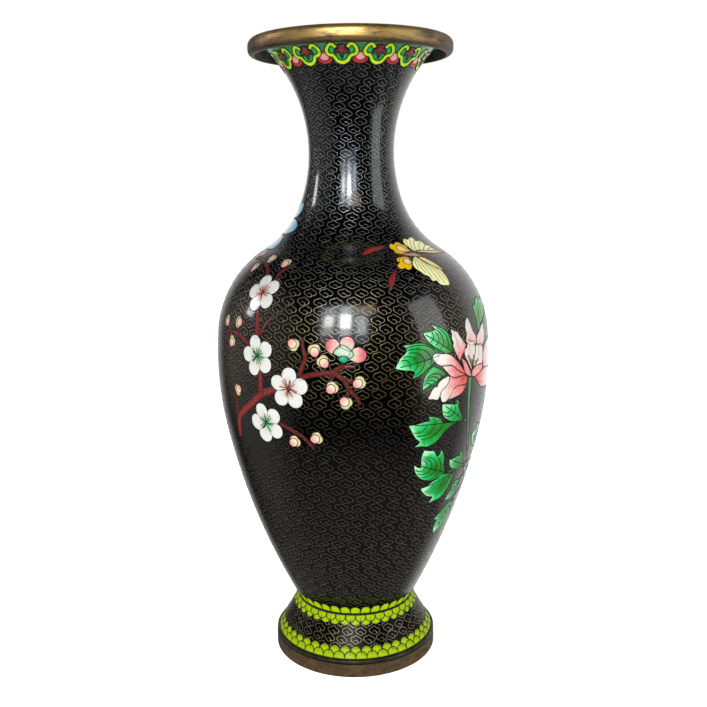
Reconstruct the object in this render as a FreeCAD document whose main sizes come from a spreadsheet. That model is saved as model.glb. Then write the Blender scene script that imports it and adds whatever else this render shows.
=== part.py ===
"""Cloisonne vase: copper shells, metal rings, enamel grounds and the inlaid cells of the decoration.

Millimetres. +Z is up, the foot stands on Z = 0 and the axis of the vase is the Z axis.
The decorated front faces -Y. Angles on the vase are in degrees, 0 at the front, growing towards +X.
"""
import FreeCAD
import Part
import Sketcher

import math
import os

from FreeCAD import Vector

doc = FreeCAD.newDocument("cloisonne_vase")

# ------------------------------------------------------------------ driving dimensions

SIZES = {
    "vase_height": 305,
    # outer face of the belly and neck: six tangent arcs, each with a radius and the height it ends at
    "waist_height": 26,
    "waist_radius": 29,
    "waist_slope": 29.5,
    "lower_curve": 330,
    "lower_top": 116,
    "belly_curve": 162,
    "belly_top": 164,
    "shoulder_curve": 51,
    "shoulder_top": 203,
    "neck_base_curve": 47,
    "neck_base_top": 228,
    "neck_curve": 73,
    "neck_top": 296.5,
    "flare_curve": 20,
    "flare_top": 301,
    # thickness of the sheet and the coats, and the heights of the soldered joints
    "copper_sheet": 0.9,
    "enamel_coat": 0.8,
    "lining_coat": 0.3,
    "neck_joint": 212,
    "belly_joint": 150,
    # foot, a cone between the waist and the foot ring
    "foot_radius": 39.2,
    "foot_bottom": 8.2,
    "skirt_bottom": 3,
    "base_height": 5,
    "base_sheet": 1,
    "base_coat": 0.5,
    "stand_radius": 40.6,
    "stand_wall_top": 6.3,
    "stand_groove": 0.5,
    "stand_edge": 0.3,
    "stand_bead": 0.6,
    "waist_wire": 0.45,
    # mouth ring, hollow below
    "rim_radius": 50,
    "rim_height": 8,
    "rim_wall": 1.8,
    "rim_top": 2,
    "rim_inner": 40,
    "rim_round": 2.4,
    "rim_edge": 0.8,
    # bands of the decoration
    "collar_bottom": 290.5,
    "waist_band_top": 30.6,
    "waist_band_bottom": 21.6,
    "foot_band_top": 13.4,
}

sheet = doc.addObject("Spreadsheet::Sheet", "sizes")
for row, (alias, number) in enumerate(SIZES.items(), start=1):
    sheet.set(f"A{row}", alias)
    sheet.set(f"B{row}", str(number))
    sheet.setAlias(f"B{row}", alias)
doc.recompute()


def size(formula):
    """The value of a formula of the sheet's cells."""
    return float(sheet.evalExpression(formula))


# ------------------------------------------------------------------ shape of the outer wall

# Arc name and the side its centre is on: 1 towards the axis, -1 away from it.
ARCS = [("lower", 1), ("belly", 1), ("shoulder", 1), ("neck_base", -1), ("neck", -1), ("flare", -1)]


def outer_wall():
    """Centre, signed radius, top height and the lean of the wall at both ends, for each arc."""
    radius = size("sizes.waist_radius")
    height = size("sizes.waist_height")
    lean = math.radians(size("sizes.waist_slope"))
    arcs = []
    for name, side in ARCS:
        bend = side * size(f"sizes.{name}_curve")
        top = size(f"sizes.{name}_top")
        centre = (radius - bend * math.cos(lean), height + bend * math.sin(lean))
        top_lean = math.asin((centre[1] - top) / bend)
        arcs.append((centre, bend, top, lean, top_lean))
        radius = centre[0] + bend * math.cos(top_lean)
        height = top
        lean = top_lean
    return arcs


WALL = outer_wall()


def wall_at(height):
    """Radius and lean of the outer wall at a height. Below the waist it is the foot's cone."""
    if height < size("sizes.waist_height"):
        drop = size("sizes.waist_height - sizes.foot_bottom")
        spread = size("sizes.foot_radius - sizes.waist_radius")
        run = (size("sizes.waist_height") - height) / drop
        return size("sizes.waist_radius") + spread * run, -math.atan2(spread, drop)
    for centre, bend, top, _, _ in WALL:
        if height <= top:
            break
    lean = math.asin((centre[1] - height) / bend)
    return centre[0] + bend * math.cos(lean), lean


# ------------------------------------------------------------------ sketches and revolved bodies

START, END, CENTRE = 1, 2, 3
ROOT, AXIS = -1, -2


def new_body(name):
    body = doc.addObject("PartDesign::Body", name)
    body.Label = name
    return body


def upright_sketch(body):
    """A sketch on the body's own XZ plane: x is the radius and y is the height."""
    sketch = body.newObject("Sketcher::SketchObject", body.Name + "_profile")
    plane = next(item for item in body.Origin.OriginFeatures if item.Role == "XZ_Plane")
    sketch.AttachmentSupport = [(plane, "")]
    sketch.MapMode = "FlatFace"
    return sketch


def bind(sketch, kind, *target, formula):
    """Add a dimension and drive it with a formula of the sheet's cells."""
    index = sketch.addConstraint(Sketcher.Constraint(kind, *target, size(formula)))
    sketch.setExpression(f"Constraints[{index}]", formula)


def join(sketch, kind, *target):
    sketch.addConstraint(Sketcher.Constraint(kind, *target))


def revolve(body, sketch):
    turned = body.newObject("PartDesign::Revolution", body.Name + "_turned")
    turned.Profile = sketch
    turned.ReferenceAxis = (sketch, ["V_Axis"])
    turned.Angle = 360
    sketch.Visibility = False
    doc.recompute()
    return turned


def add_arc(sketch, centre, bend, lean, top_lean):
    """One arc of a wall. A hollow one runs from its top to its bottom, because arcs turn one way."""
    circle = Part.Circle(Vector(*centre, 0), Vector(0, 0, 1), abs(bend))
    if bend > 0:
        return sketch.addGeometry(Part.ArcOfCircle(circle, -lean, -top_lean), False), START, END
    arc = Part.ArcOfCircle(circle, math.pi - top_lean, math.pi - lean)
    return sketch.addGeometry(arc, False), END, START


def guide_wall(sketch, construction):
    """The outer wall, with every driving dimension on it."""
    chain = []
    for (centre, bend, _, lean, top_lean), (name, _) in zip(WALL, ARCS):
        arc, low, high = add_arc(sketch, centre, bend, lean, top_lean)
        sketch.setConstruction(arc, construction)
        if chain:
            below, _, joint = chain[-1]
            join(sketch, "Tangent", below, joint, arc, low)
        else:
            slope = "sizes.waist_height + sizes.lower_curve * sin(sizes.waist_slope * 1 deg)"
            bind(sketch, "DistanceX", ROOT, START, arc, low, formula="sizes.waist_radius")
            bind(sketch, "DistanceY", ROOT, START, arc, low, formula="sizes.waist_height")
            bind(sketch, "DistanceY", ROOT, START, arc, CENTRE, formula=slope)
        bind(sketch, "Radius", arc, formula=f"sizes.{name}_curve")
        bind(sketch, "DistanceY", ROOT, START, arc, high, formula=f"sizes.{name}_top")
        chain.append((arc, low, high))
    return chain


def inset_wall(sketch, guide, inset, top):
    """A face that lies at a formula's depth under the outer wall, from the waist to a top height."""
    depth = size(inset)
    chain = []
    for (centre, bend, _, lean, top_lean), (over, _, _) in zip(WALL, guide):
        bend = bend - depth
        if over == guide[0][0]:
            lean = math.asin((centre[1] - size("sizes.waist_height")) / bend)
        if over == guide[-1][0]:
            top_lean = math.asin((centre[1] - size(top)) / bend)
        arc, low, high = add_arc(sketch, centre, bend, lean, top_lean)
        join(sketch, "Coincident", arc, CENTRE, over, CENTRE)
        if chain:
            below, _, joint = chain[-1]
            join(sketch, "Tangent", below, joint, arc, low)
        else:
            bind(sketch, "Radius", arc, formula=f"sizes.lower_curve - ({inset})")
            bind(sketch, "DistanceY", ROOT, START, arc, low, formula="sizes.waist_height")
        chain.append((arc, low, high))
    arc, _, high = chain[-1]
    bind(sketch, "DistanceY", ROOT, START, arc, high, formula=top)
    return chain


def wall_layer(name, inner, top, outer=None):
    """A coat of even thickness up the belly and neck, between the outer wall or a depth and another depth."""
    body = new_body(name)
    sketch = upright_sketch(body)
    guide = guide_wall(sketch, construction=outer is not None)
    faces = [inset_wall(sketch, guide, outer, top) if outer else guide]
    faces.append(inset_wall(sketch, guide, inner, top))
    for step in (0, -1):
        (outer_arc, *outer_ends), (inner_arc, *inner_ends) = faces[0][step], faces[1][step]
        outer_end, inner_end = outer_ends[step], inner_ends[step]
        edge = sketch.addGeometry(Part.LineSegment(sketch.getPoint(outer_arc, outer_end),
                                                   sketch.getPoint(inner_arc, inner_end)), False)
        join(sketch, "Coincident", edge, START, outer_arc, outer_end)
        join(sketch, "Coincident", edge, END, inner_arc, inner_end)
    revolve(body, sketch)
    return body


def turned_body(name, corners):
    """A body turned from a straight-sided outline. A corner is a radius formula and a height formula."""
    body = new_body(name)
    sketch = upright_sketch(body)
    points = [Vector(size(x), size(y), 0) for x, y in corners]
    count = len(points)
    sides = []
    for start, end in zip(points, points[1:] + points[:1]):
        sides.append(sketch.addGeometry(Part.LineSegment(start, end), False))
    for i, (side, (x, y)) in enumerate(zip(sides, corners)):
        join(sketch, "Coincident", side, END, sides[(i + 1) % count], START)
        for kind, formula, axis in (("DistanceX", x, AXIS), ("DistanceY", y, ROOT)):
            if formula == "0":
                join(sketch, "PointOnObject", side, START, axis)
            else:
                bind(sketch, kind, ROOT, START, side, START, formula=formula)
    return body, revolve(body, sketch)


def round_edges(body, turned, places, radius):
    """Fillet the circular edges at given radius and height formulas."""
    wanted = [(size(x), size(y)) for x, y in places]
    near = 0.01
    names = []
    for index, edge in enumerate(turned.Shape.Edges, start=1):
        if not isinstance(edge.Curve, Part.Circle):
            continue
        circle = edge.Curve
        if any(abs(circle.Radius - x) < near and abs(circle.Center.z - y) < near for x, y in wanted):
            names.append(f"Edge{index}")
    fillet = body.newObject("PartDesign::Fillet", f"{body.Name}_round_{len(body.Group)}")
    fillet.Base = (turned, names)
    fillet.setExpression("Radius", radius)
    turned.Visibility = False
    doc.recompute()
    return fillet


def slab(name, bottom, top):
    """A wide disc between two heights, used to cut a wall layer into sections."""
    disc = doc.addObject("Part::Cylinder", name)
    disc.setExpression("Radius", "2 * sizes.rim_radius")
    disc.setExpression("Height", f"({top}) - ({bottom})")
    disc.setExpression("Placement.Base.z", bottom)
    doc.recompute()
    return disc


def boolean(kind, name, base, tool):
    result = doc.addObject(f"Part::{kind}", name)
    result.Label = name
    result.Base = base
    result.Tool = tool
    doc.recompute()
    return result


def section(name, layer, bottom, top):
    return boolean("Common", name, layer, slab(name + "_slab", bottom, top))


# ------------------------------------------------------------------ cells of the decoration

TURN = 360
CELL_RISE = 1.5     # how far a cell's prism starts above the surface
CELL_DEPTH = 6.5    # and how deep it goes from there, enough for the curve of the wall under a large petal


def frame_at(angle, height):
    """A frame on the wall: x runs around the vase, y up the wall and z out of it."""
    radius, lean = wall_at(height)
    turn = math.radians(angle)
    out = Vector(math.sin(turn), -math.cos(turn), 0)
    around = Vector(math.cos(turn), math.sin(turn), 0)
    up = out * math.sin(lean) + Vector(0, 0, math.cos(lean))
    normal = around.cross(up)
    origin = out * radius + Vector(0, 0, height)
    matrix = FreeCAD.Matrix(around.x, up.x, normal.x, origin.x,
                            around.y, up.y, normal.y, origin.y,
                            around.z, up.z, normal.z, origin.z,
                            0, 0, 0, 1)
    return FreeCAD.Placement(matrix)


def on_frame(frame, angle, height):
    """Where a point of the wall falls on the flat of a frame."""
    point = frame.inverse().multVec(frame_at(angle, height).Base)
    return Vector(point.x, point.y, 0)


def prism(frame, wire):
    """A flat closed outline pushed through the enamel."""
    wire.translate(Vector(0, 0, CELL_RISE))
    solid = Part.Face(wire).extrude(Vector(0, 0, -CELL_DEPTH))
    solid.Placement = frame.multiply(solid.Placement)
    return solid


def oval(angle, height, length, width, tilt=0):
    """An ellipse on the wall, its length turned by tilt from the horizontal."""
    if length == width:
        edge = Part.Circle(Vector(0, 0, 0), Vector(0, 0, 1), width / 2).toShape()
    elif length > width:
        edge = Part.Ellipse(Vector(0, 0, 0), length / 2, width / 2).toShape()
    else:
        edge = Part.Ellipse(Vector(0, 0, 0), width / 2, length / 2).toShape()
        tilt += 90
    edge.rotate(Vector(0, 0, 0), Vector(0, 0, 1), tilt)
    return prism(frame_at(angle, height), Part.Wire(edge))


def blade(foot, tip, width):
    """A pointed leaf or petal between two points of the wall, each an angle and a height."""
    frame = frame_at((foot[0] + tip[0]) / 2, (foot[1] + tip[1]) / 2)
    low, high = on_frame(frame, *foot), on_frame(frame, *tip)
    along = (high - low).normalize()
    aside = Vector(-along.y, along.x, 0) * (width / 2)
    middle = (low + high) / 2
    edges = [Part.Arc(low, middle + aside, high).toShape(), Part.Arc(high, middle - aside, low).toShape()]
    return prism(frame, Part.Wire(edges))


def stroke(points):
    """A tapering line along points of angle, height and width."""
    angles = [point[0] for point in points]
    heights = [point[1] for point in points]
    frame = frame_at((min(angles) + max(angles)) / 2, (min(heights) + max(heights)) / 2)
    line = [on_frame(frame, angle, height) for angle, height, _ in points]
    left, right = [], []
    for i, (_, _, width) in enumerate(points):
        along = (line[min(i + 1, len(line) - 1)] - line[max(i - 1, 0)]).normalize()
        aside = Vector(-along.y, along.x, 0) * (width / 2)
        left.append(line[i] + aside)
        right.append(line[i] - aside)
    outline = left + right[::-1]
    return prism(frame, Part.makePolygon(outline + outline[:1]))


def fused(cells):
    return cells[0].multiFuse(cells[1:]) if len(cells) > 1 else cells[0]


def all_round(cell, count):
    """Copies of a cell at even steps around the vase."""
    copies = []
    for i in range(count):
        copy = cell.copy()
        copy.rotate(Vector(0, 0, 0), Vector(0, 0, 1), i * TURN / count)
        copies.append(copy)
    return Part.makeCompound(copies)


def tool(name, shape):
    """A shape of the document that cuts or keeps a part of an enamel coat."""
    feature = doc.addObject("Part::Feature", name + "_cells")
    feature.Shape = shape
    return feature


# ------------------------------------------------------------------ metal body

RIM_UNDER = "sizes.vase_height - sizes.rim_top"
COPPER_DEPTH = "sizes.enamel_coat + sizes.copper_sheet"

copper = wall_layer("copper_layer", COPPER_DEPTH, RIM_UNDER, outer="sizes.enamel_coat")
section("neck_shell", copper, "sizes.neck_joint", RIM_UNDER)
section("upper_belly_shell", copper, "sizes.belly_joint", "sizes.neck_joint")
section("lower_belly_shell", copper, "sizes.waist_height", "sizes.belly_joint")


def foot_layer(name, outer, inner, skirt=None):
    """A cone from the waist to the top of the foot ring. A skirt height carries it down inside the ring."""
    corners = [(f"sizes.waist_radius - {outer}", "sizes.waist_height"),
               (f"sizes.foot_radius - {outer}", "sizes.foot_bottom")]
    if skirt:
        corners += [(f"sizes.foot_radius - {outer}", skirt), (f"sizes.foot_radius - ({inner})", skirt)]
    corners += [(f"sizes.foot_radius - ({inner})", "sizes.foot_bottom"),
                (f"sizes.waist_radius - ({inner})", "sizes.waist_height")]
    return turned_body(name, corners)


foot_layer("foot_shell", "sizes.enamel_coat", COPPER_DEPTH, skirt="sizes.skirt_bottom")

FOOT_INSIDE = f"sizes.foot_radius - ({COPPER_DEPTH})"
BASE_TOP = "sizes.base_height + sizes.base_sheet"
BASE_UNDER = "sizes.base_height - sizes.base_coat"
turned_body("base_plate", [("0", "sizes.base_height"), (FOOT_INSIDE, "sizes.base_height"),
                           (FOOT_INSIDE, BASE_TOP), ("0", BASE_TOP)])
turned_body("base_enamel", [("0", BASE_UNDER), (FOOT_INSIDE, BASE_UNDER),
                            (FOOT_INSIDE, "sizes.base_height"), ("0", "sizes.base_height")])

STAND_INSIDE = "sizes.foot_radius - sizes.enamel_coat"
GROOVE_TOP = "sizes.stand_wall_top + sizes.stand_groove"
stand, stand_turned = turned_body("foot_ring", [
    (STAND_INSIDE, "0"), ("sizes.stand_radius", "0"), ("sizes.stand_radius", "sizes.stand_wall_top"),
    ("sizes.stand_radius - sizes.stand_groove", "sizes.stand_wall_top"),
    ("sizes.stand_radius - sizes.stand_groove", GROOVE_TOP),
    ("sizes.stand_radius - sizes.stand_groove / 2", GROOVE_TOP),
    ("sizes.stand_radius - sizes.stand_groove / 2", "sizes.foot_bottom"), (STAND_INSIDE, "sizes.foot_bottom")])
stand_wall_edges = [("sizes.stand_radius", "0"), ("sizes.stand_radius", "sizes.stand_wall_top")]
stand_eased = round_edges(stand, stand_turned, stand_wall_edges, "sizes.stand_edge")
round_edges(stand, stand_eased, [("sizes.stand_radius - sizes.stand_groove / 2", "sizes.foot_bottom")],
            "sizes.stand_bead")

RIM_BOTTOM = "sizes.vase_height - sizes.rim_height"
RIM_WALL = "sizes.rim_radius - sizes.rim_wall"
rim, rim_turned = turned_body("mouth_ring", [
    (RIM_WALL, RIM_BOTTOM), ("sizes.rim_radius", RIM_BOTTOM), ("sizes.rim_radius", "sizes.vase_height"),
    ("sizes.rim_inner", "sizes.vase_height"), ("sizes.rim_inner", RIM_UNDER), (RIM_WALL, RIM_UNDER)])
rim_rounded = round_edges(rim, rim_turned, [("sizes.rim_radius", "sizes.vase_height")], "sizes.rim_round")
round_edges(rim, rim_rounded, [("sizes.rim_radius", RIM_BOTTOM), (RIM_WALL, RIM_BOTTOM),
                               ("sizes.rim_inner", "sizes.vase_height"), ("sizes.rim_inner", RIM_UNDER)],
            "sizes.rim_edge")

bead = doc.addObject("Part::Torus", "waist_wire")
bead.Label = "waist_wire"
bead.setExpression("Radius1", "sizes.waist_radius - sizes.waist_wire / 2")
bead.setExpression("Radius2", "sizes.waist_wire")
bead.setExpression("Placement.Base.z", "sizes.waist_height")
doc.recompute()

# ------------------------------------------------------------------ outlines of the inlaid cells

COLLAR_HEADS, FIRST_HEAD = 13, -6.3


# The ovals of each cell of one cloud head: angle from the head, height, length and width.
FLORET = [(0, 296.6, 6.4, 1.9), (0, 295.9, 2.2, 5.2)]
CUPS = [(-6.2, 296.6, 5.6, 4.8), (6.2, 296.6, 5.6, 4.8), (0, 293.6, 6, 4.2)]
HEAD = [(-6.4, 296.4, 8, 7.6), (6.4, 296.4, 8, 7.6), (0, 293.4, 8.4, 7)]
# Between two heads a lappet lies over a crescent.
LAPPET = [(TURN / COLLAR_HEADS / 2, 294.2, 4, 4)]
CRESCENT = [(TURN / COLLAR_HEADS / 2, 293.4, 5.6, 5)]


def collar_cells():
    """One cloud head of the collar, with the lappet and crescent that fill the space up to the next head."""
    florets, cups, heads, lappets, crescents = [
        fused([oval(FIRST_HEAD + angle, *place) for angle, *place in ovals])
        for ovals in (FLORET, CUPS, HEAD, LAPPET, CRESCENT)]
    return {
        "collar_florets": florets,
        "collar_cups": cups.cut(florets),
        "collar_heads": heads.cut([florets, cups]),
        "collar_lappets": lappets.cut(heads),
        "collar_crescents": crescents.cut([lappets, heads]),
    }


SCALE_FILL = 0.94   # the width of a scale against the spacing of its row, the rest is wire


def scale_cell(count, first, height, length, cover=None):
    """One scale of a row, cut short by the two scales of the row in front of it."""
    radius, _ = wall_at(height)
    width = SCALE_FILL * math.radians(TURN / count) * radius
    scale = oval(first, height, width, length)
    if cover:
        cover_angle, cover_height = cover
        scale = scale.cut([oval(cover_angle, cover_height, width, length),
                           oval(cover_angle + TURN / count, cover_height, width, length)])
    return scale


# Angle and height of each open blossom, and the heading of its first petal.
BLOSSOMS = [(-43, 186.5, 104), (-39.5, 159, 106), (-25, 146, 86), (-36.5, 128.5, 112)]
PETALS = 5
PETAL_SPREAD = 5.8
PETAL_WIDTH = 7.4
HEART_WIDTH = 8


def blossom(angle, height, heading):
    radius, lean = wall_at(height)
    cells = [oval(angle, height, HEART_WIDTH, HEART_WIDTH)]
    for i in range(PETALS):
        way = math.radians(heading + i * TURN / PETALS)
        aside = math.degrees(PETAL_SPREAD * math.cos(way) / radius)
        above = PETAL_SPREAD * math.sin(way) * math.cos(lean)
        cells.append(oval(angle + aside, height + above, PETAL_WIDTH, PETAL_WIDTH))
    return cells


# The blossom seen from the side: its petals as angle, height, length and width.
SIDE_BLOSSOM = [(-7.3, 166, 6, 6), (-2.2, 167.5, 6, 6), (1.6, 161.8, 6.6, 6.2), (-3.6, 163.4, 8, 4.6)]

BUDS = [(-23, 165.8), (-14.5, 163.5), (-11, 158.7), (2, 149.7), (-8, 147.3), (-3, 141), (-14.7, 124),
        (-24, 121.5), (-52, 141.3), (-56.5, 163), (-52.5, 172.5), (-63, 171.5), (-38.5, 199.2), (-53, 200.8),
        (-62, 196.2), (-70.5, 202)]
BUD_WIDTH, BUD_HEIGHT = 5.2, 4.8

# Each stretch of the plum branch as points of angle, height and width.
BRANCH = [
    [(-56, 117.5, 2.6), (-55, 124, 3.2), (-53, 128.5, 3), (-48, 133, 3.2), (-43, 137, 3), (-38, 141.5, 3),
     (-31, 145, 2.6)],
    [(-38.5, 141, 2.6), (-38, 146, 2.4), (-38, 152, 2.2)],
    [(-40.3, 167, 2.2), (-41, 174, 2.2), (-42.5, 180.5, 1.8)],
    [(-38.9, 168.5, 1.4), (-36.5, 173, 1.2), (-33.3, 177, 0.8)],
    [(-44.5, 163.5, 1.8), (-50, 166.5, 1.4), (-55, 167.6, 1.2), (-60, 167.3, 1), (-64, 165.8, 0.7)],
    [(-50.5, 166.5, 1), (-52, 170, 0.8)],
    [(-58, 167.4, 1), (-61.5, 169.8, 0.8)],
    [(-54.6, 128, 1.4), (-54.3, 133, 1.3), (-54, 137, 1.1), (-52.8, 139, 0.8)],
    [(-54.3, 136, 1.1), (-57, 141, 0.7)],
    [(-20.5, 151, 1.8), (-15, 153, 1.6), (-7.5, 153.8, 1.6), (-3.5, 151.2, 1.4), (0.5, 150, 0.9)],
    [(-8, 154, 1.5), (-4.5, 156.3, 1.2), (0.8, 157, 0.7)],
    [(-4.8, 156, 1), (-3.4, 159, 0.7)],
    [(-3.5, 151.2, 1.3), (-1.5, 147, 1.2), (1, 143.5, 0.9), (2.3, 140, 0.6)],
    [(-1.8, 147, 1), (-2.3, 143.5, 0.8)],
    [(-8.2, 153.5, 1), (-8.3, 150, 0.8)],
    [(-20.5, 151.5, 1.6), (-19.3, 156, 1.5), (-18, 160, 1.3), (-19, 164.5, 0.9), (-19.3, 169, 0.6)],
    [(-30.5, 129.8, 1.2), (-25, 127, 1.1), (-20, 124, 1), (-15.8, 118.8, 0.6)],
    [(-45, 193.5, 1.4), (-50, 197, 1.4), (-57, 199, 1.2), (-65, 200, 1), (-73, 199.6, 0.7)],
    [(-39, 192, 1.2), (-37.5, 196, 1.1), (-35, 197.2, 0.9), (-31, 198.2, 0.6)],
]

FOREWINGS = [((39, 205.2), (25, 206), 4), ((36, 201), (24, 199.2), 4)]
HINDWINGS = [((38.5, 205.2), (66, 205.5), 6.5), ((35, 201), (51, 191), 9)]
BUTTERFLY_BODY = [(30, 203.6, 0.8), (37, 203.1, 1.8), (45, 202.2, 0.8)]
FEELERS = [((23, 206.6), (5.5, 203.6), 1.6), ((22, 197), (16, 189), 1.8)]

# Petals and leaves as foot, tip and width.
PEONY_PETALS = [
    ((51, 149.5), (31.5, 159), 8), ((51.5, 146.5), (29.5, 141.5), 9), ((49.5, 158), (41.5, 170), 7),
    ((54, 162), (53.5, 173.5), 8), ((60, 162), (68.5, 170), 7), ((53, 150), (53, 164), 10),
    ((58, 150), (66, 159), 9), ((66, 155), (96, 154), 14), ((57, 147), (92, 138), 9),
]
PEONY_HEART = (54.5, 153, 9, 5)
PEONY_STEM = [(53, 145, 1.5), (53.2, 136, 1.5), (55, 125, 1.4), (59, 112.5, 1.4), (65, 103, 1.4), (74, 95, 1.3)]
PEONY_LEAVES = [
    ((38, 157.5), (16, 155.5), 13), ((41.5, 160), (29, 171.5), 9), ((38, 153), (27, 145), 7),
    ((50, 126), (37, 136), 8), ((46.5, 126.5), (21.5, 129), 11), ((45, 103), (27, 111), 12),
    ((54, 100), (31.5, 95.5), 12), ((60, 101.5), (46, 107.5), 6), ((64, 92), (51, 86.5), 9),
    ((62, 82), (48, 71.5), 11), ((60, 165), (74, 180), 9), ((74, 108), (63, 117), 8),
]

BLUE_FLOWER = (-108, 214)
BLUE_PETALS = 9
BLUE_REACH = 3, 24
BLUE_WIDTH = 6


def blue_flower():
    """Long petals that fan out from a heart on the left shoulder."""
    angle, height = BLUE_FLOWER
    radius, lean = wall_at(height)
    cells = []
    for i in range(BLUE_PETALS):
        way = math.radians(i * TURN / BLUE_PETALS)
        ends = []
        for reach in BLUE_REACH:
            aside = math.degrees(reach * math.cos(way) / radius)
            above = reach * math.sin(way) * math.cos(lean)
            ends.append((angle + aside, height + above))
        cells.append(blade(*ends, BLUE_WIDTH))
    return cells


# ------------------------------------------------------------------ enamel

enamel = wall_layer("enamel_layer", "sizes.enamel_coat", "sizes.flare_top")
section("inner_lining", wall_layer("lining_layer", COPPER_DEPTH + " + sizes.lining_coat", RIM_UNDER,
                                   outer=COPPER_DEPTH), "sizes.waist_height", "sizes.flare_top")

blossoms = fused([cell for place in BLOSSOMS for cell in blossom(*place)])
side_blossom = fused([oval(*place) for place in SIDE_BLOSSOM])
buds = fused([oval(angle, height, BUD_WIDTH, BUD_HEIGHT) for angle, height in BUDS])
branch = fused([stroke(points) for points in BRANCH]).cut([blossoms, side_blossom, buds])
wings_front = fused([blade(*place) for place in FOREWINGS])
wings_back = fused([blade(*place) for place in HINDWINGS]).cut(wings_front)
insect = fused([stroke(BUTTERFLY_BODY)] + [blade(*place) for place in FEELERS])
heart = oval(*PEONY_HEART)
petals = fused([blade(*place) for place in PEONY_PETALS]).cut(heart)
stem = stroke(PEONY_STEM).cut([petals, heart])
leaves = fused([blade(*place) for place in PEONY_LEAVES]).cut([petals, heart, stem])

INLAYS = {
    "plum_blossoms": Part.makeCompound([blossoms, side_blossom]),
    "plum_buds": buds.cut(blossoms),
    "plum_branch": branch,
    "butterfly_forewings": wings_front.cut(insect),
    "butterfly_hindwings": wings_back.cut(insect),
    "butterfly_body": insect,
    "peony_petals": petals,
    "peony_heart": heart,
    "peony_leaves": leaves,
    "peony_stem": stem,
    "blue_petals": fused(blue_flower()),
}
cells = {name: tool(name, shape) for name, shape in INLAYS.items()}
for name, cell in cells.items():
    boolean("Common", name, enamel, cell)


def band_node(name, coat, cell, count):
    """A node of equal cells all round the vase, each kept out of an enamel coat."""
    node = doc.addObject("Part::Feature", name)
    node.Label = name
    node.Shape = all_round(coat.Shape.common(cell), count)


collar_coat = section("collar_coat", enamel, "sizes.collar_bottom", "sizes.flare_top")
collar = collar_cells()
for name, cell in collar.items():
    band_node(name, collar_coat, cell, COLLAR_HEADS)

# the green ground between two heads is one cell, from the middle of a head to the middle of the next
pie = Part.makeCylinder(size("2 * sizes.rim_radius"), size("sizes.vase_height"),
                        Vector(0, 0, 0), Vector(0, 0, 1), TURN / COLLAR_HEADS)
pie.rotate(Vector(0, 0, 0), Vector(0, 0, 1), FIRST_HEAD - TURN / 4)
next_head = {name: cell.copy() for name, cell in collar.items()}
for cell in next_head.values():
    cell.rotate(Vector(0, 0, 0), Vector(0, 0, 1), TURN / COLLAR_HEADS)
pie = pie.cut(list(collar.values()) + list(next_head.values()))
band_node("collar_ground", collar_coat, pie, COLLAR_HEADS)

WAIST_SCALES, FOOT_SCALES = 38, 45
FIRST_WAIST_SCALE, FIRST_FOOT_SCALE = 0.5, -1.7
half_waist, half_foot = TURN / WAIST_SCALES / 2, TURN / FOOT_SCALES / 2

foot_enamel, _ = foot_layer("foot_enamel_layer", "0 * sizes.enamel_coat", "sizes.enamel_coat")
UNDER_WIRE = "sizes.waist_height - sizes.waist_wire"
OVER_WIRE = "sizes.waist_height + sizes.waist_wire"
foot_coat = section("foot_coat", foot_enamel, "sizes.foot_bottom", UNDER_WIRE)
waist_coat = section("waist_coat", enamel, OVER_WIRE, "sizes.waist_band_top")
# Name, coat, count, first angle, height and length of the scales, and the row in front.
SCALE_ROWS = [
    ("waist_scales_upper", waist_coat, WAIST_SCALES, FIRST_WAIST_SCALE, 27.8, 6.4, None),
    ("waist_scales_inner", foot_coat, WAIST_SCALES, FIRST_WAIST_SCALE + half_waist, 25.4, 4.8, None),
    ("waist_scales_lower", foot_coat, WAIST_SCALES, FIRST_WAIST_SCALE, 23.8, 4.8,
     (FIRST_WAIST_SCALE - half_waist, 25.4)),
    ("foot_scales_lower", foot_coat, FOOT_SCALES, FIRST_FOOT_SCALE + half_foot, 8.8, 5, None),
    ("foot_scales_upper", foot_coat, FOOT_SCALES, FIRST_FOOT_SCALE, 11.1, 5,
     (FIRST_FOOT_SCALE - half_foot, 8.8)),
]
for name, coat, count, first, height, length, cover in SCALE_ROWS:
    band_node(name, coat, scale_cell(count, first, height, length, cover), count)

section("foot_ground", foot_enamel, "sizes.foot_band_top", "sizes.waist_band_bottom")
body_black = section("body_black", enamel, "sizes.waist_band_top", "sizes.collar_bottom")
body_inlays = tool("body_inlays", Part.makeCompound([cell.Shape for cell in cells.values()]))
boolean("Cut", "body_ground", body_black, body_inlays)

# ------------------------------------------------------------------ export

METAL = ["mouth_ring", "neck_shell", "upper_belly_shell", "lower_belly_shell", "foot_shell", "base_plate",
         "foot_ring", "waist_wire"]
COATS = ["body_ground", "foot_ground", "collar_ground", "inner_lining", "base_enamel"]
BANDS = [name for name, *_ in SCALE_ROWS]
NODES = METAL + COATS + BANDS + list(collar) + list(cells)

doc.recompute()
for item in doc.Objects:
    assert "Invalid" not in item.State and "Error" not in item.State, f"{item.Label}: {item.State}"

os.makedirs("parts", exist_ok=True)
for name in NODES:
    # a cutting tool of the same name has "_cells" in its label, so the label finds the sub-part alone
    part = doc.getObjectsByLabel(name)[0]
    assert not part.Shape.isNull() and part.Shape.isValid(), f"{name} has no valid shape"
    part.Shape.exportStep(f"parts/{name}.step")
    print(f"{name}: {len(part.Shape.Solids)} solids, {part.Shape.Volume:.0f} mm3")
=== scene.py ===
"""Looks of the cloisonne vase: grounds, inlaid cells, cloud-shaped wires, metal rings, light and camera.

Lengths are millimetres until a mesh is made, then metres. Angles on the vase are degrees, 0 at the front
(-Y) and growing towards +X. A place on the outer wall is (angle, height), or (turn, run) inside the code:
the angle in radians, and the length along the wall up from the waist.
"""
import math
import random
from math import asin, atan2, cos, degrees, pi, radians, sin

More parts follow.
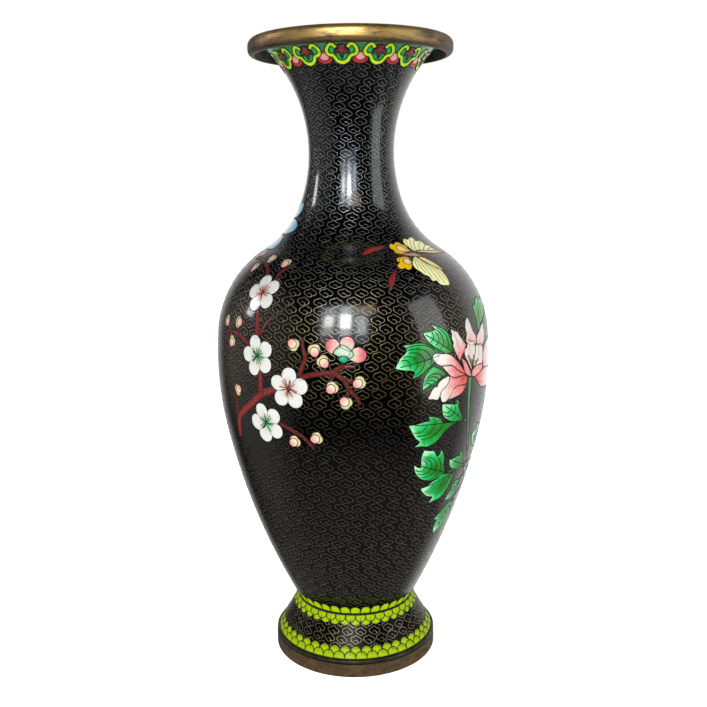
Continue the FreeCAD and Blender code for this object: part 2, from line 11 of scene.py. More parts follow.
import bpy
from mathutils import Matrix, Vector
from mathutils.geometry import delaunay_2d_cdt


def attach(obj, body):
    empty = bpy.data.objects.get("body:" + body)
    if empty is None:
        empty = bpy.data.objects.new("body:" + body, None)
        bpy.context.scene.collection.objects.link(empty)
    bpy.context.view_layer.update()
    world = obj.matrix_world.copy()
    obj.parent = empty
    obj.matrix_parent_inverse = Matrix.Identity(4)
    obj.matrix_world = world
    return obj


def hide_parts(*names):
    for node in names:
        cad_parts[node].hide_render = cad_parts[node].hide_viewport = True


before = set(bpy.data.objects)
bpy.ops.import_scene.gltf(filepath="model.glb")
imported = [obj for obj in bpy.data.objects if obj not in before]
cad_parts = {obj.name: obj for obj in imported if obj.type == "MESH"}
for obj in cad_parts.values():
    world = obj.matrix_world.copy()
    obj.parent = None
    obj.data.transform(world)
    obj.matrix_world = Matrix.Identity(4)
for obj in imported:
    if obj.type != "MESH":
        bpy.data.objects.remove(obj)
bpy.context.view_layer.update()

rng = random.Random(11)
MM = 0.001

# ------------------------------------------------------------------ the outer wall

# Signed bend radius (positive bulges outwards) and top height of each tangent arc above the waist.
ARCS = [(330, 116), (162, 164), (51, 203), (-47, 228), (-73, 296.5), (-20, 301)]
WAIST_RADIUS, WAIST_HEIGHT, WAIST_LEAN = 29, 26, radians(29.5)
FOOT_RADIUS, FOOT_BOTTOM = 39.2, 8.2
CONE_LEAN = -atan2(FOOT_RADIUS - WAIST_RADIUS, WAIST_HEIGHT - FOOT_BOTTOM)


def meridian():
    """Centre, bend, lean and run at the lower end, and top height of each arc."""
    radius, height, lean, run = WAIST_RADIUS, WAIST_HEIGHT, WAIST_LEAN, 0
    arcs = []
    for bend, top in ARCS:
        centre_r, centre_z = radius - bend * cos(lean), height + bend * sin(lean)
        arcs.append((centre_r, centre_z, bend, lean, run, top))
        top_lean = asin((centre_z - top) / bend)
        run += bend * (lean - top_lean)
        radius, height, lean = centre_r + bend * cos(top_lean), top, top_lean
    return arcs


WALL = meridian()


def run_at(height):
    """The length along the wall from the waist up to a height, negative on the foot."""
    if height < WAIST_HEIGHT:
        return (height - WAIST_HEIGHT) / cos(CONE_LEAN)
    arc = next((arc for arc in WALL if height <= arc[-1]), WALL[-1])
    _, centre_z, bend, lean, run, _ = arc
    return run + bend * (lean - asin((centre_z - height) / bend))


def wall(run):
    """Radius, height and lean of the wall at a run."""
    if run < 0:
        return WAIST_RADIUS + run * sin(CONE_LEAN), WAIST_HEIGHT + run * cos(CONE_LEAN), CONE_LEAN
    arc = next(arc for arc in reversed(WALL) if run >= arc[4])
    centre_r, centre_z, bend, lean, start, _ = arc
    lean -= (run - start) / bend
    return centre_r + bend * cos(lean), centre_z - bend * sin(lean), lean


def on_wall(turn, run, lift=0):
    """A point in metres, lifted off the wall along its normal."""
    radius, height, lean = wall(run)
    radius += lift * cos(lean)
    return Vector((radius * sin(turn), -radius * cos(turn), height - lift * sin(lean))) * MM


def wall_normal(turn, run):
    lean = wall(run)[2]
    return Vector((cos(lean) * sin(turn), -cos(lean) * cos(turn), -sin(lean)))


def spot(angle, height):
    return radians(angle), run_at(height)


def shifted(place, across, up):
    """A place moved by millimetres around and up the wall."""
    turn, run = place
    return turn + across / wall(run + up)[0], run + up


# ------------------------------------------------------------------ outlines on the wall

STEP = 0.5      # length of the straight pieces that curves are divided into


def smooth(points, closed=False):
    """A rounded line through points, a Catmull-Rom curve."""
    count = len(points)
    line = [points[0]]
    for i in range(count if closed else count - 1):
        if closed:
            near = [points[(i + k) % count] for k in (-1, 0, 1, 2)]
        else:
            near = [points[min(max(i + k, 0), count - 1)] for k in (-1, 0, 1, 2)]
        start, end = near[1], near[2]
        steps = max(2, round(math.hypot((end[0] - start[0]) * wall(start[1])[0], end[1] - start[1]) / STEP))
        for j in range(1, steps + 1):
            t = j / steps
            line.append(tuple(0.5 * (2 * b + (c - a) * t + (2 * a - 5 * b + 4 * c - d) * t * t
                                     + (3 * b - a - 3 * c + d) * t ** 3)
                              for a, b, c, d in zip(*near)))
    return line[:-1] if closed else line


def outline(points, tips=()):
    """A closed outline through (angle, height) points, rounded except at the tips given by index."""
    places = [spot(*point) for point in points]
    count = len(places)
    if not tips:
        return smooth(places, closed=True)
    line = []
    for first, last in zip(tips, tips[1:] + (tips[0] + count,)):
        line += smooth([places[i % count] for i in range(first, last + 1)])[:-1]
    return line


def oval(place, length, width, tilt=0, count=28):
    """An ellipse about a place, its length turned by tilt degrees from the horizontal."""
    ring = []
    for i in range(count):
        way = 2 * pi * i / count
        x, y = length / 2 * cos(way), width / 2 * sin(way)
        a = radians(tilt)
        ring.append(shifted(place, x * cos(a) - y * sin(a), x * sin(a) + y * cos(a)))
    return ring


def widened(line, widths):
    """The outline of a line drawn with a changing width."""
    left, right = [], []
    for i, (turn, run) in enumerate(line):
        before, after = line[max(i - 1, 0)], line[min(i + 1, len(line) - 1)]
        radius = wall(run)[0]
        along = Vector(((after[0] - before[0]) * radius, after[1] - before[1])).normalized()
        half = widths[i] / 2
        left.append(shifted((turn, run), -along.y * half, along.x * half))
        right.append(shifted((turn, run), along.y * half, -along.x * half))
    return left + right[::-1]


def stroke(points):
    """A tapering stroke through (angle, height, width) points."""
    line = smooth([(*spot(angle, height), width) for angle, height, width in points])
    return widened([point[:2] for point in line], [point[2] for point in line])


def blade(foot, tip, width, fullness):
    """A pointed petal between two places, widest beyond the middle when fullness is over 1."""
    count = 16
    line = [tuple(a + (b - a) * i / count for a, b in zip(foot, tip)) for i in range(count + 1)]
    widths = [max(0.12, width * sin(pi * (i / count) ** fullness)) for i in range(count + 1)]
    return widened(line, widths)


def holds(ring, turn, run):
    """Whether a place is inside a closed outline."""
    inside = False
    for (t0, r0), (t1, r1) in zip(ring, ring[1:] + ring[:1]):
        if (r0 > run) != (r1 > run) and turn < t0 + (t1 - t0) * (run - r0) / (r1 - r0):
            inside = not inside
    return inside


# ------------------------------------------------------------------ pieces

ROOT = "root"
WIRE_SUNK = 0.03


def piece(name, vertices, faces, slot, material, nodes=(), values=None):
    """A mesh object that rides on the vase, and stands for the CAD nodes named."""
    mesh = bpy.data.meshes.new(name)
    mesh.from_pydata(vertices, [], faces)
    mesh.update()
    mesh.shade_smooth()
    for key, numbers in (values or {}).items():
        mesh.attributes.new(key, "FLOAT", "POINT").data.foreach_set("value", numbers)
    mesh.materials.append(material)
    thing = bpy.data.objects.new(name, mesh)
    bpy.context.collection.objects.link(thing)
    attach(thing, ROOT)
    if nodes:
        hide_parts(*nodes)


class Wires:
    """Flat wires set in the enamel, gathered into one mesh. Each has a low ridge along its middle."""

    def __init__(self, width, ridge):
        self.width, self.ridge = width, ridge
        self.vertices, self.faces = [], []

    def lay(self, line, closed=False, lift=0.0, width=None):
        half = (width or self.width) / 2 * MM
        count = len(line)
        first = len(self.vertices)
        points = [on_wall(*place) for place in line]
        for i, place in enumerate(line):
            if closed:
                along = points[(i + 1) % count] - points[i - 1]
            else:
                along = points[min(i + 1, count - 1)] - points[max(i - 1, 0)]
            normal = wall_normal(*place)
            aside = normal.cross(along).normalized() * half
            foot = points[i] + normal * (lift - WIRE_SUNK) * MM
            self.vertices += [foot + aside, points[i] + normal * (lift + self.ridge) * MM, foot - aside]
        for i in range(count if closed else count - 1):
            a, b = first + 3 * i, first + 3 * ((i + 1) % count)
            self.faces += [(a, a + 1, b + 1, b), (a + 1, a + 2, b + 2, b + 1)]

    def draw(self, points, lift, width):
        """A wire through (angle, height) points."""
        self.lay(smooth([spot(*point) for point in points]), lift=lift, width=width)

    def finish(self, name, material):
        piece(name, self.vertices, self.faces, "wire_bronze", material)


CELL_LIFT = 0.08
CELL_DEPTH = 0.12
covered = []        # outlines of all cells, which the clouds keep clear of


class Cells:
    """Enamel cells gathered into one mesh, with wires laid along their outlines.

    Each point carries "tone", the value of a function of its place, and "rim", its distance from the wire.
    """

    def __init__(self, wires):
        self.wires = wires
        self.vertices, self.faces, self.tone, self.rim = [], [], [], []

    def add(self, rings, tone=None, layer=0, spacing=1.0, wire=None):
        covered.extend(rings)
        runs = [run for ring in rings for _, run in ring]
        turns = [turn for ring in rings for turn, _ in ring]
        radius = wall((min(runs) + max(runs)) / 2)[0]
        points = [Vector((turn * radius, run)) for ring in rings for turn, run in ring]
        edge_points = list(points)
        loops, first = [], 0
        for ring in rings:
            loops.append(list(range(first, first + len(ring))))
            first += len(ring)
        columns = int((max(turns) - min(turns)) * radius / spacing) + 1
        rows = int((max(runs) - min(runs)) / spacing) + 1
        for row in range(rows):
            for column in range(columns):
                x = min(turns) * radius + (column + 0.5 * (row % 2) + 0.3) * spacing
                y = min(runs) + (row + 0.5) * spacing
                if any(holds(ring, x / radius, y) for ring in rings) and \
                        min((p.x - x) ** 2 + (p.y - y) ** 2 for p in edge_points) > (0.4 * spacing) ** 2:
                    points.append(Vector((x, y)))
        flat, _, triangles, *_ = delaunay_2d_cdt(points, [], loops, 1, 1e-4)
        if not triangles:
            return
        border = {}
        pairs = {(a, b) for t in triangles for a, b in zip(t, t[1:] + t[:1])}
        for a, b in pairs:
            if (b, a) not in pairs:
                border[a] = b
        used = sorted({corner for t in triangles for corner in t})
        index = {corner: i for i, corner in enumerate(used)}
        lift = CELL_LIFT + layer
        base, count = len(self.vertices), len(used)
        rims = [flat[i] for i in border]
        for height in (lift, -CELL_DEPTH):
            for corner in used:
                x, y = flat[corner]
                self.vertices.append(on_wall(x / radius, y, height))
                self.tone.append(tone((x / radius, y)) if tone else 0.0)
                self.rim.append(0.0 if corner in border else min((p - flat[corner]).length for p in rims))
        for a, b, c in triangles:
            a, b, c = base + index[a], base + index[b], base + index[c]
            self.faces += [(a, b, c), (c + count, b + count, a + count)]
        for a, b in border.items():
            a, b = base + index[a], base + index[b]
            self.faces.append((b, a, a + count, b + count))
        while border:
            corner, loop = next(iter(border)), []
            while corner in border:
                loop.append((flat[corner].x / radius, flat[corner].y))
                corner = border.pop(corner)
            self.wires.lay(loop, closed=True, lift=lift, width=wire)

    def finish(self, name, slot, material, nodes):
        values = {"tone": self.tone, "rim": self.rim}
        piece(name, self.vertices, self.faces, slot, material, nodes, values)


def inlay(name, slot, material, nodes, wires, shapes, layer=0, spacing=1.0, wire=None, tone=None):
    """A piece of enamel cells. Each shape is a list of outlines."""
    cells = Cells(wires)
    for rings in shapes:
        cells.add(rings, tone, layer, spacing, wire)
    cells.finish(name, slot, material, nodes)


SEGMENTS = 256      # of a turned piece


def lathe(name, profile, slot, material, nodes, wobble=0.0):
    """A piece turned from a line of (radius, height). A closed profile repeats its first point."""
    closed = profile[0] == profile[-1]
    rows = profile[:-1] if closed else profile
    vertices, faces = [], []
    for radius, height in rows:
        for i in range(SEGMENTS):
            turn = 2 * pi * i / SEGMENTS
            sway = wobble * (sin(2 * turn + 0.7) + 0.6 * sin(5 * turn + 2) + 0.3 * sin(11 * turn))
            r = radius + sway
            vertices.append(Vector((r * sin(turn), -r * cos(turn), height)) * MM)
    for row in range(len(rows) if closed else len(rows) - 1):
        low, high = row * SEGMENTS, (row + 1) % len(rows) * SEGMENTS
        for i in range(SEGMENTS):
            j = (i + 1) % SEGMENTS
            faces.append((low + i, low + j, high + j, high + i))
    piece(name, vertices, faces, slot, material, nodes)


COAT_THICKNESS, COAT_STEP = 0.8, 1.2


def coat(bottom, top):
    """The profile of a closed coat of enamel on the wall between two heights."""
    low, high = run_at(bottom), run_at(top)
    count = max(2, round((high - low) / COAT_STEP))
    outside, inside = [], []
    for i in range(count + 1):
        radius, height, lean = wall(low + (high - low) * i / count)
        outside.append((radius, height))
        inside.append((radius - COAT_THICKNESS * cos(lean), height + COAT_THICKNESS * sin(lean)))
    return outside + inside[::-1] + outside[:1]


ROUND_STEPS = 6


def rounded(corners):
    """A closed profile through (radius, height, rounding) corners."""
    line = []
    for i, (x, y, rounding) in enumerate(corners):
        corner = Vector((x, y))
        if not rounding:
            line.append((x, y))
            continue
        back = (Vector(corners[i - 1][:2]) - corner).normalized()
        ahead = (Vector(corners[(i + 1) % len(corners)][:2]) - corner).normalized()
        half = back.angle(ahead) / 2
        reach = rounding / math.tan(half)
        start, end = corner + back * reach, corner + ahead * reach
        middle = corner + (back + ahead).normalized() * rounding / sin(half)
        for k in range(ROUND_STEPS + 1):
            spoke = (start - middle).slerp(end - middle, k / ROUND_STEPS)
            line.append(tuple(middle + spoke * rounding))
    return line + line[:1]


# ------------------------------------------------------------------ materials


class Graph:
    """Short calls that add nodes to a node tree."""

    def __init__(self, tree):
        self.nodes, self.links = tree.nodes, tree.links

    def node(self, kind, inputs=(), **settings):
        item = self.nodes.new("ShaderNode" + kind)
        for key, value in settings.items():
            setattr(item, key, value)
        for socket, value in inputs:
            if isinstance(value, bpy.types.NodeSocket):
                self.links.new(value, item.inputs[socket])
            else:
                item.inputs[socket].default_value = value
        return item

    def math(self, operation, *terms):
        return self.node("Math", enumerate(terms), operation=operation).outputs[0]


class Shader(Graph):
    """A material with the Principled shader, and short calls for the nodes that feed it."""

    def __init__(self, name, **sockets):
        self.material = bpy.data.materials.new(name)
        self.material.use_nodes = True
        super().__init__(self.material.node_tree)
        self.surface = self.nodes["Principled BSDF"]
        for key, value in sockets.items():
            self.surface.inputs[key.replace("_", " ")].default_value = value
        self.space = self.node("TexCoord").outputs["Object"]

    def feed(self, socket, value):
        self.links.new(value, self.surface.inputs[socket])

    def noise(self, scale, detail, stretch=None, rough=0.5):
        space = self.space
        if stretch:
            space = self.node("Mapping", [("Vector", space), ("Scale", stretch)]).outputs[0]
        return self.node("TexNoise", [("Vector", space), ("Scale", scale), ("Detail", detail),
                                      ("Roughness", rough)]).outputs["Fac"]

    def cells(self, scale):
        return self.node("TexVoronoi", [("Vector", self.space), ("Scale", scale)]).outputs["Distance"]

    def ramp(self, value, stops):
        item = self.node("ValToRGB", [("Fac", value)])
        ramp = item.color_ramp
        while len(ramp.elements) < len(stops):
            ramp.elements.new(0.5)
        for element, (position, colour) in zip(ramp.elements, stops):
            element.position = position
            element.color = (*colour, 1) if isinstance(colour, tuple) else (colour, colour, colour, 1)
        return item.outputs["Color"]

    def mix(self, value, *ends):
        first, second = [end if isinstance(end, bpy.types.NodeSocket) else (*end, 1) for end in ends]
        return self.node("Mix", [(0, value), (6, first), (7, second)], data_type="RGBA").outputs[2]

    def value(self, name):
        return self.node("Attribute", attribute_name=name).outputs["Fac"]

    def bump(self, height, strength, distance):
        item = self.node("Bump", [("Height", height), ("Strength", strength), ("Distance", distance)])
        self.feed("Normal", item.outputs[0])


GLASS = 1.6     # index of refraction


def polish(shader, roughness, spread=0.12):
    """The gloss of polished enamel: a little orange peel, pits, and uneven shine."""
    pits = shader.ramp(shader.cells(700), [(0.0, 0.0), (0.12, 1.0)])
    shader.bump(shader.math("MULTIPLY_ADD", shader.noise(260, 2.0), 0.5, pits), 0.12, 0.00006)
    low, high = (roughness,) * 3, (roughness + spread,) * 3
    shader.feed("Roughness", shader.mix(shader.noise(45, 4.0), low, high))


def black_enamel(name, roughness, spread, ior):
    shader = Shader(name, IOR=ior)
    cloudy = [(0.3, (0.0, 0.0, 0.0)), (0.75, (0.0012, 0.0012, 0.0014))]
    shader.feed("Base Color", shader.ramp(shader.noise(120, 5.0), cloudy))
    polish(shader, roughness, spread)
    return shader.material


def enamel(name, stops, source="tone", speckle=0.12, dark=(0.3, 0.3, 0.25), reach=1.0, pull=0.0,
           roughness=0.1, ior=GLASS):
    """Enamel whose colour follows a value of the mesh, taken as a part of the reach, with fine specks.

    With a pull the value also falls with the distance from the wire.
    """
    shader = Shader(name, IOR=ior)
    value = shader.math("DIVIDE", shader.value(source), reach)
    if pull:
        value = shader.math("MULTIPLY_ADD", shader.value("rim"), -pull, value)
    wander = shader.math("SUBTRACT", shader.noise(420, 3.0), 0.5)
    colour = shader.ramp(shader.math("MULTIPLY_ADD", wander, 0.35, value), stops)
    specks = shader.ramp(shader.noise(1500, 2.0), [(0.34, speckle), (0.46, 0.0)])
    shader.feed("Base Color", shader.mix(specks, colour, dark))
    polish(shader, roughness)
    return shader.material


def scratch(shader, patches):
    """A bump of fine scratches round the vase and of the patches of tarnish."""
    scratches = shader.noise(300, 3.0, (1, 1, 9))
    shader.bump(shader.math("ADD", scratches, patches), 0.35, 0.00012)


def metal(name, bright, tarnish, spots, scale, roughness, metallic=1.0, grain=(1, 1, 1)):
    """Aged metal: a bright colour under patches of tarnish and darker spots."""
    shader = Shader(name, Metallic=metallic)
    patches = shader.ramp(shader.noise(scale, 6.0, grain, 0.62), [(0.38, 0.0), (0.62, 1.0)])
    stains = shader.ramp(shader.noise(scale * 2.7, 6.0, grain, 0.7), [(0.5, 0.0), (0.66, 1.0)])
    shader.feed("Base Color", shader.mix(stains, shader.mix(patches, bright, tarnish), spots))
    shader.feed("Roughness", shader.mix(patches, (roughness,) * 3, (roughness + 0.2,) * 3))
    scratch(shader, patches)
    return shader.material


def cloud_wire():
    """Thin brass whose colour follows the height: brownish on the foot, grey-beige low on the belly, dark on
    the middle of the belly as painted shade, bright gold on the upper belly as a painted sheen under the
    window highlight, and silver grey above.
    """
    shader = Shader("cloud_wire_brass", Metallic=0.88)
    height = shader.node("SeparateXYZ", [(0, shader.space)]).outputs["Z"]
    wander = shader.math("SUBTRACT", shader.noise(24, 4.0), 0.5)
    level = shader.math("MULTIPLY_ADD", wander, 0.16, shader.math("DIVIDE", height, 0.3))
    # Painted light: the dark stop at 0.42 paints shade on the middle of the belly, and the gold at 0.53
    # paints the sheen of the window highlight on the upper belly.
    shader.feed("Base Color", shader.ramp(level, [
        (0.06, (0.24, 0.2, 0.1)), (0.12, (0.32, 0.28, 0.21)), (0.3, (0.24, 0.2, 0.13)),
        (0.42, (0.08, 0.066, 0.04)), (0.53, (0.3, 0.235, 0.09)), (0.6, (0.28, 0.24, 0.14)),
        (0.68, (0.27, 0.27, 0.26)), (1.0, (0.25, 0.25, 0.23))]))
    shader.feed("Roughness", shader.ramp(shader.noise(90, 4.0), [(0.3, 0.3), (0.7, 0.5)]))
    return shader.material


def rim_brass_with_painted_shade():
    """Brass bright along the middle of the front, with painted shade that turns it brown towards its top and
    bottom and towards its left and right, over noise patches of tarnish and darker stains.
    """
    shader = Shader("rim_brass", Metallic=0.95)
    across, _, height = shader.node("SeparateXYZ", [(0, shader.space)]).outputs
    # Painted shade: darker away from the front middle, towards the left and right of the ring.
    sides = shader.math("POWER", shader.math("MULTIPLY", shader.math("ABSOLUTE", across), 22), 2)
    # Painted shade: darker towards the top and bottom of the band, where it rounds over.
    off_middle = shader.math("ABSOLUTE", shader.math("SUBTRACT", height, 0.3016))
    edges = shader.math("POWER", shader.math("MULTIPLY", off_middle, 235), 4)
    # The painted shade is added to a noise of tarnish, so the patches below carry both.
    tarnish_and_painted_shade = shader.math("MULTIPLY_ADD", sides, 0.3, shader.noise(30, 6.0, (1, 1, 4), 0.64))
    tarnish_and_painted_shade = shader.math("MULTIPLY_ADD", edges, 0.24, tarnish_and_painted_shade)
    patches = shader.ramp(tarnish_and_painted_shade, [(0.44, 0.0), (0.8, 1.0)])
    stains = shader.ramp(shader.noise(80, 6.0, (1, 1, 5), 0.7), [(0.49, 0.0), (0.66, 1.0)])
    # Bright brass, turned dark brown by the painted shade and by the tarnish.
    brass = shader.mix(patches, (0.74, 0.47, 0.14), (0.17, 0.125, 0.09))
    shader.feed("Base Color", shader.mix(stains, brass, (0.1, 0.066, 0.05)))
    shader.feed("Roughness", shader.mix(patches, (0.38,) * 3, (0.58,) * 3))
    scratch(shader, patches)
    return shader.material


BLACK = black_enamel("black_enamel", 0.07, 0.1, GLASS)
FOOT_BLACK = black_enamel("foot_black_enamel", 0.2, 0.15, 1.17)
WIRE = cloud_wire()
WIRE_DARK = metal("wire_dark", (0.016, 0.01, 0.008), (0.008, 0.006, 0.005), (0.004, 0.003, 0.003),
                  160, 0.55, 0.3)

# ------------------------------------------------------------------ metal rings and grounds

RIM = rim_brass_with_painted_shade()
# Near-black metal for the lining of the hollow under the rim: painted shade where the rim shades that
# hollow.
RIM_UNDERSIDE_SHADE = metal("rim_underside_painted_shade", (0.02, 0.02, 0.016), (0.008, 0.01, 0.008), (0.004, 0.004, 0.004), 90, 0.6, 0.2)
STAND = metal("foot_bronze", (0.13, 0.075, 0.026), (0.08, 0.045, 0.02), (0.035, 0.02, 0.012),
              130, 0.6, 0.45, (1, 1, 2))
BEAD = metal("bead_bronze", (0.07, 0.066, 0.035), (0.025, 0.026, 0.014), (0.012, 0.012, 0.008),
             110, 0.35, 0.7)
COPPER = metal("copper", (0.4, 0.2, 0.12), (0.2, 0.1, 0.07), (0.06, 0.05, 0.04), 60, 0.45)

lathe("mouth_ring_brass", rounded([(46.9, 297, 0.2), (50.2, 297, 2.8), (50.2, 305.2, 3.4), (40, 305.2, 0.8),
                                   (40, 303, 0.8), (46.9, 303, 0)]),
      "rim_brass", RIM, ["mouth_ring"], 0.06)
# A near-black lining in the hollow under the rim, painted shade.
lathe("mouth_ring_underside", rounded([(46.4, 297.8, 0), (46.9, 297.8, 0), (46.9, 303, 0), (40.8, 303, 0),
                                       (40.8, 302.5, 0), (46.4, 302.5, 0)]), "rim_brass", RIM_UNDERSIDE_SHADE, [])
lathe("foot_ring_bronze", rounded([(38.4, 0, 0), (40.6, 0, 0.5), (40.6, 6.2, 0.3), (38.4, 6.2, 0)]),
      "foot_bronze", STAND, ["foot_ring"], 0.04)
lathe("foot_ring_bead", rounded([(38.4, 6.2, 0), (40.1, 6.2, 0), (40.1, 6.6, 0), (40.5, 6.6, 0.3),
                                 (40.5, 8.2, 0.7), (38.4, 8.2, 0)]), "foot_bronze", BEAD, [])
lathe("body_enamel", coat(26.4, 293.6), "black_enamel", BLACK, ["body_ground"])
lathe("foot_enamel", coat(8.2, 25.6), "black_enamel", FOOT_BLACK, ["foot_ground"])

COLLAR_GREEN = enamel("collar_green", [(0.3, (0.02, 0.16, 0.07)), (0.7, (0.06, 0.3, 0.13))], speckle=0.3)
lathe("collar_enamel", coat(293.6, 301), "collar_green", COLLAR_GREEN, ["collar_ground"])

LINING = enamel("lining_blue", [(0.3, (0.05, 0.24, 0.33)), (0.7, (0.12, 0.42, 0.5))], speckle=0.3)
CARRIED = {"inner_lining": LINING, "base_enamel": LINING, "waist_wire": WIRE_DARK}
for name in ("neck_shell", "upper_belly_shell", "lower_belly_shell", "foot_shell", "base_plate"):
    CARRIED[name] = COPPER
for name, material in CARRIED.items():
    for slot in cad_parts[name].material_slots:
        slot.material = material

# ------------------------------------------------------------------ bands of cells

DARK_WIDTH, DARK_RIDGE = 0.42, 0.07
cell_wires = Wires(DARK_WIDTH, DARK_RIDGE)

HEADS, FIRST_HEAD = 13, -6.3
LIME = [(0.0, (0.2, 0.38, 0.003)), (0.3, (0.38, 0.56, 0.003)), (1.0, (0.44, 0.62, 0.004))]
HEAD_LIME = enamel("head_lime", LIME, "rim", reach=1.2, dark=(0.2, 0.4, 0.01))
CUP_GREEN = enamel("cup_green", [(0.0, (0.0, 0.14, 0.03)), (1.0, (0.005, 0.34, 0.07))], "rim", reach=2.0)
MAROON = enamel("maroon_enamel", [(0.0, (0.06, 0.006, 0.008)), (1.0, (0.16, 0.022, 0.02))], "rim", reach=1.4)
ROSE = enamel("pink_enamel", [(0.0, (0.5, 0.1, 0.12)), (1.0, (0.66, 0.26, 0.26))], "rim", reach=1.2)
RED = enamel("red_enamel", [(0.0, (0.25, 0.01, 0.014)), (1.0, (0.42, 0.03, 0.03))], "rim", reach=1.4)

# Angle from the middle of a head, height and width of its lime band, from the left hook to the bottom.
HOOK = [(-4.2, 296.3, 1.9), (-5.7, 297.5, 1.8), (-7.9, 297.7, 1.8), (-10.2, 296.4, 1.8), (-11, 294.9, 1.8),
        (-9.8, 293.7, 1.8), (-7, 293.3, 1.8), (-5.6, 292.4, 1.8), (-4.6, 291.4, 1.8),
        (-2.6, 290.6, 1.9), (0, 290.3, 2)]
BAND = HOOK + [(-angle, height, width) for angle, height, width in HOOK[-2::-1]]
LEAFLET = [(0, 292), (-1.2, 293.3), (-2, 294.3), (-4.9, 294.2), (-5.4, 295.3), (-2.7, 296.2), (-2.4, 297.6)]
FLORET = LEAFLET + [(-angle, height) for angle, height in LEAFLET[:0:-1]]


def ovals(*shapes):
    """Outlines about a middle angle of ellipses given as angle, height, length and width."""
    def place(middle):
        return [oval(spot(middle + angle, height), length, width) for angle, height, length, width in shapes]
    return place


# Piece, slot, material, layer, and the outlines of one head.
COLLAR = [
    ("collar_crescents", "red_enamel", RED, 0.0, ovals((13.85, 291.8, 7.4, 4.8))),
    ("collar_lappets", "pink_enamel", ROSE, 0.08, ovals((13.85, 292.9, 5, 4.4))),
    ("collar_cups", "cup_green", CUP_GREEN, 0.0,
     ovals((-7.2, 295.3, 5, 5.4), (7.2, 295.3, 5, 5.4), (0, 292.8, 6.4, 4.6))),
    ("collar_heads", "head_lime", HEAD_LIME, 0.16,
     lambda middle: [stroke([(middle + angle, height, width) for angle, height, width in BAND])]),
    ("collar_florets", "maroon_enamel", MAROON, 0.18,
     lambda middle: [outline([(middle + angle, height) for angle, height in FLORET])]),
]
for name, slot, material, layer, shapes in COLLAR:
    heads = [shapes(FIRST_HEAD + head * 360 / HEADS) for head in range(HEADS)]
    inlay(name, slot, material, [name], cell_wires, heads, layer, 0.8, 0.55)


def scale(angle, base, tip, width):
    """A scale with straight sides from its base height, and a rounded tip."""
    foot, end = run_at(base), run_at(tip)
    bend = foot + (end - foot) * 0.4
    half = width / 2 / wall(foot)[0]
    arc = [pi * i / 14 for i in range(15)]
    ring = [(radians(angle) + half * cos(way), bend + (end - bend) * sin(way)) for way in arc]
    return [(ring[0][0], foot)] + ring + [(ring[-1][0], foot)]


SCALE_LIME = enamel("scale_lime", [(0.0, (0.16, 0.24, 0.0)), (0.3, (0.32, 0.45, 0.0)),
                                   (1.0, (0.38, 0.52, 0.0))],
                    "rim", reach=1.6, dark=(0.15, 0.34, 0.005), speckle=0.2, roughness=0.3, ior=1.2)
WAIST_SCALES, FOOT_SCALES = 38, 45
SCALE_FILL = 0.96       # width of a scale as a part of its share of the row
# Name, count, steps from the first angle, base and tip heights, and layer.
SCALES = [
    ("waist_scales_upper", WAIST_SCALES, 0, 26.5, 30.8, 0.0),
    ("waist_scales_lower", WAIST_SCALES, 0, 24.4, 21.4, 0.0),
    ("waist_scales_inner", WAIST_SCALES, 0.5, 25.5, 22.8, 0.03),
    ("foot_scales_upper", FOOT_SCALES, 0, 9.9, 13.5, 0.0),
    ("foot_scales_lower", FOOT_SCALES, 0.5, 8.4, 11.4, 0.03),
]
for name, count, steps, base, tip, layer in SCALES:
    width = 2 * pi * wall(run_at(base))[0] / count * SCALE_FILL
    row = [[scale((i + steps) * 360 / count, base, tip, width)] for i in range(count)]
    inlay(name, "scale_lime", SCALE_LIME, [name], cell_wires, row, layer, 1.5)

cell_wires.finish("band_wires", WIRE_DARK)

# ------------------------------------------------------------------ plum blossom

plum_wires = Wires(DARK_WIDTH, DARK_RIDGE)
# Angle, height, heading of the first petal, and tint of the heart.
BLOSSOMS = [(-43, 186.5, 104, "pink"), (-39.5, 159, 106, "green"), (-25, 146, 86, "pink"),
            (-36.5, 128.5, 112, "green")]
PETALS, PETAL_REACH, PETAL_SIZE = 5, 5.85, 7.44


def away_from(middle):
    """A tone that grows from 0 at a place to 1 at the reach of the petals."""
    def tone(place):
        return min(1, math.hypot((place[0] - middle[0]) * wall(middle[1])[0], place[1] - middle[1]) / 9.5)
    return tone


def petal_white(name, heart):
    return enamel(name, [(0.08, heart), (0.46, (0.6, 0.56, 0.48)), (0.62, (0.63, 0.615, 0.565))],
                  speckle=0.25, dark=(0.36, 0.34, 0.28))


for tint, heart in (("pink", (0.7, 0.22, 0.15)), ("green", (0.03, 0.4, 0.13))):
    cells = Cells(plum_wires)
    for angle, height, heading, heart_tint in BLOSSOMS:
        if heart_tint != tint:
            continue
        middle = spot(angle, height)
        rings = [oval(middle, 6.6, 6.6)]
        for i in range(PETALS):
            way = radians(heading + i * 360 / PETALS)
            width = PETAL_SIZE * rng.uniform(0.94, 1.04)
            rings.append(oval(shifted(middle, PETAL_REACH * cos(way), PETAL_REACH * sin(way)),
                              PETAL_SIZE, width, degrees(way), 36))
            gap = way + pi / PETALS
            plum_wires.lay([shifted(middle, r * cos(gap), r * sin(gap)) for r in (1.5, 3, 4.6, 6.2)],
                           lift=CELL_LIFT, width=0.36)
        cells.add(rings, away_from(middle), spacing=0.9)
    nodes = ["plum_blossoms"] if tint == "pink" else []
    cells.finish(f"plum_blossoms_{tint}", "petal_white", petal_white(f"petal_white_{tint}", heart), nodes)

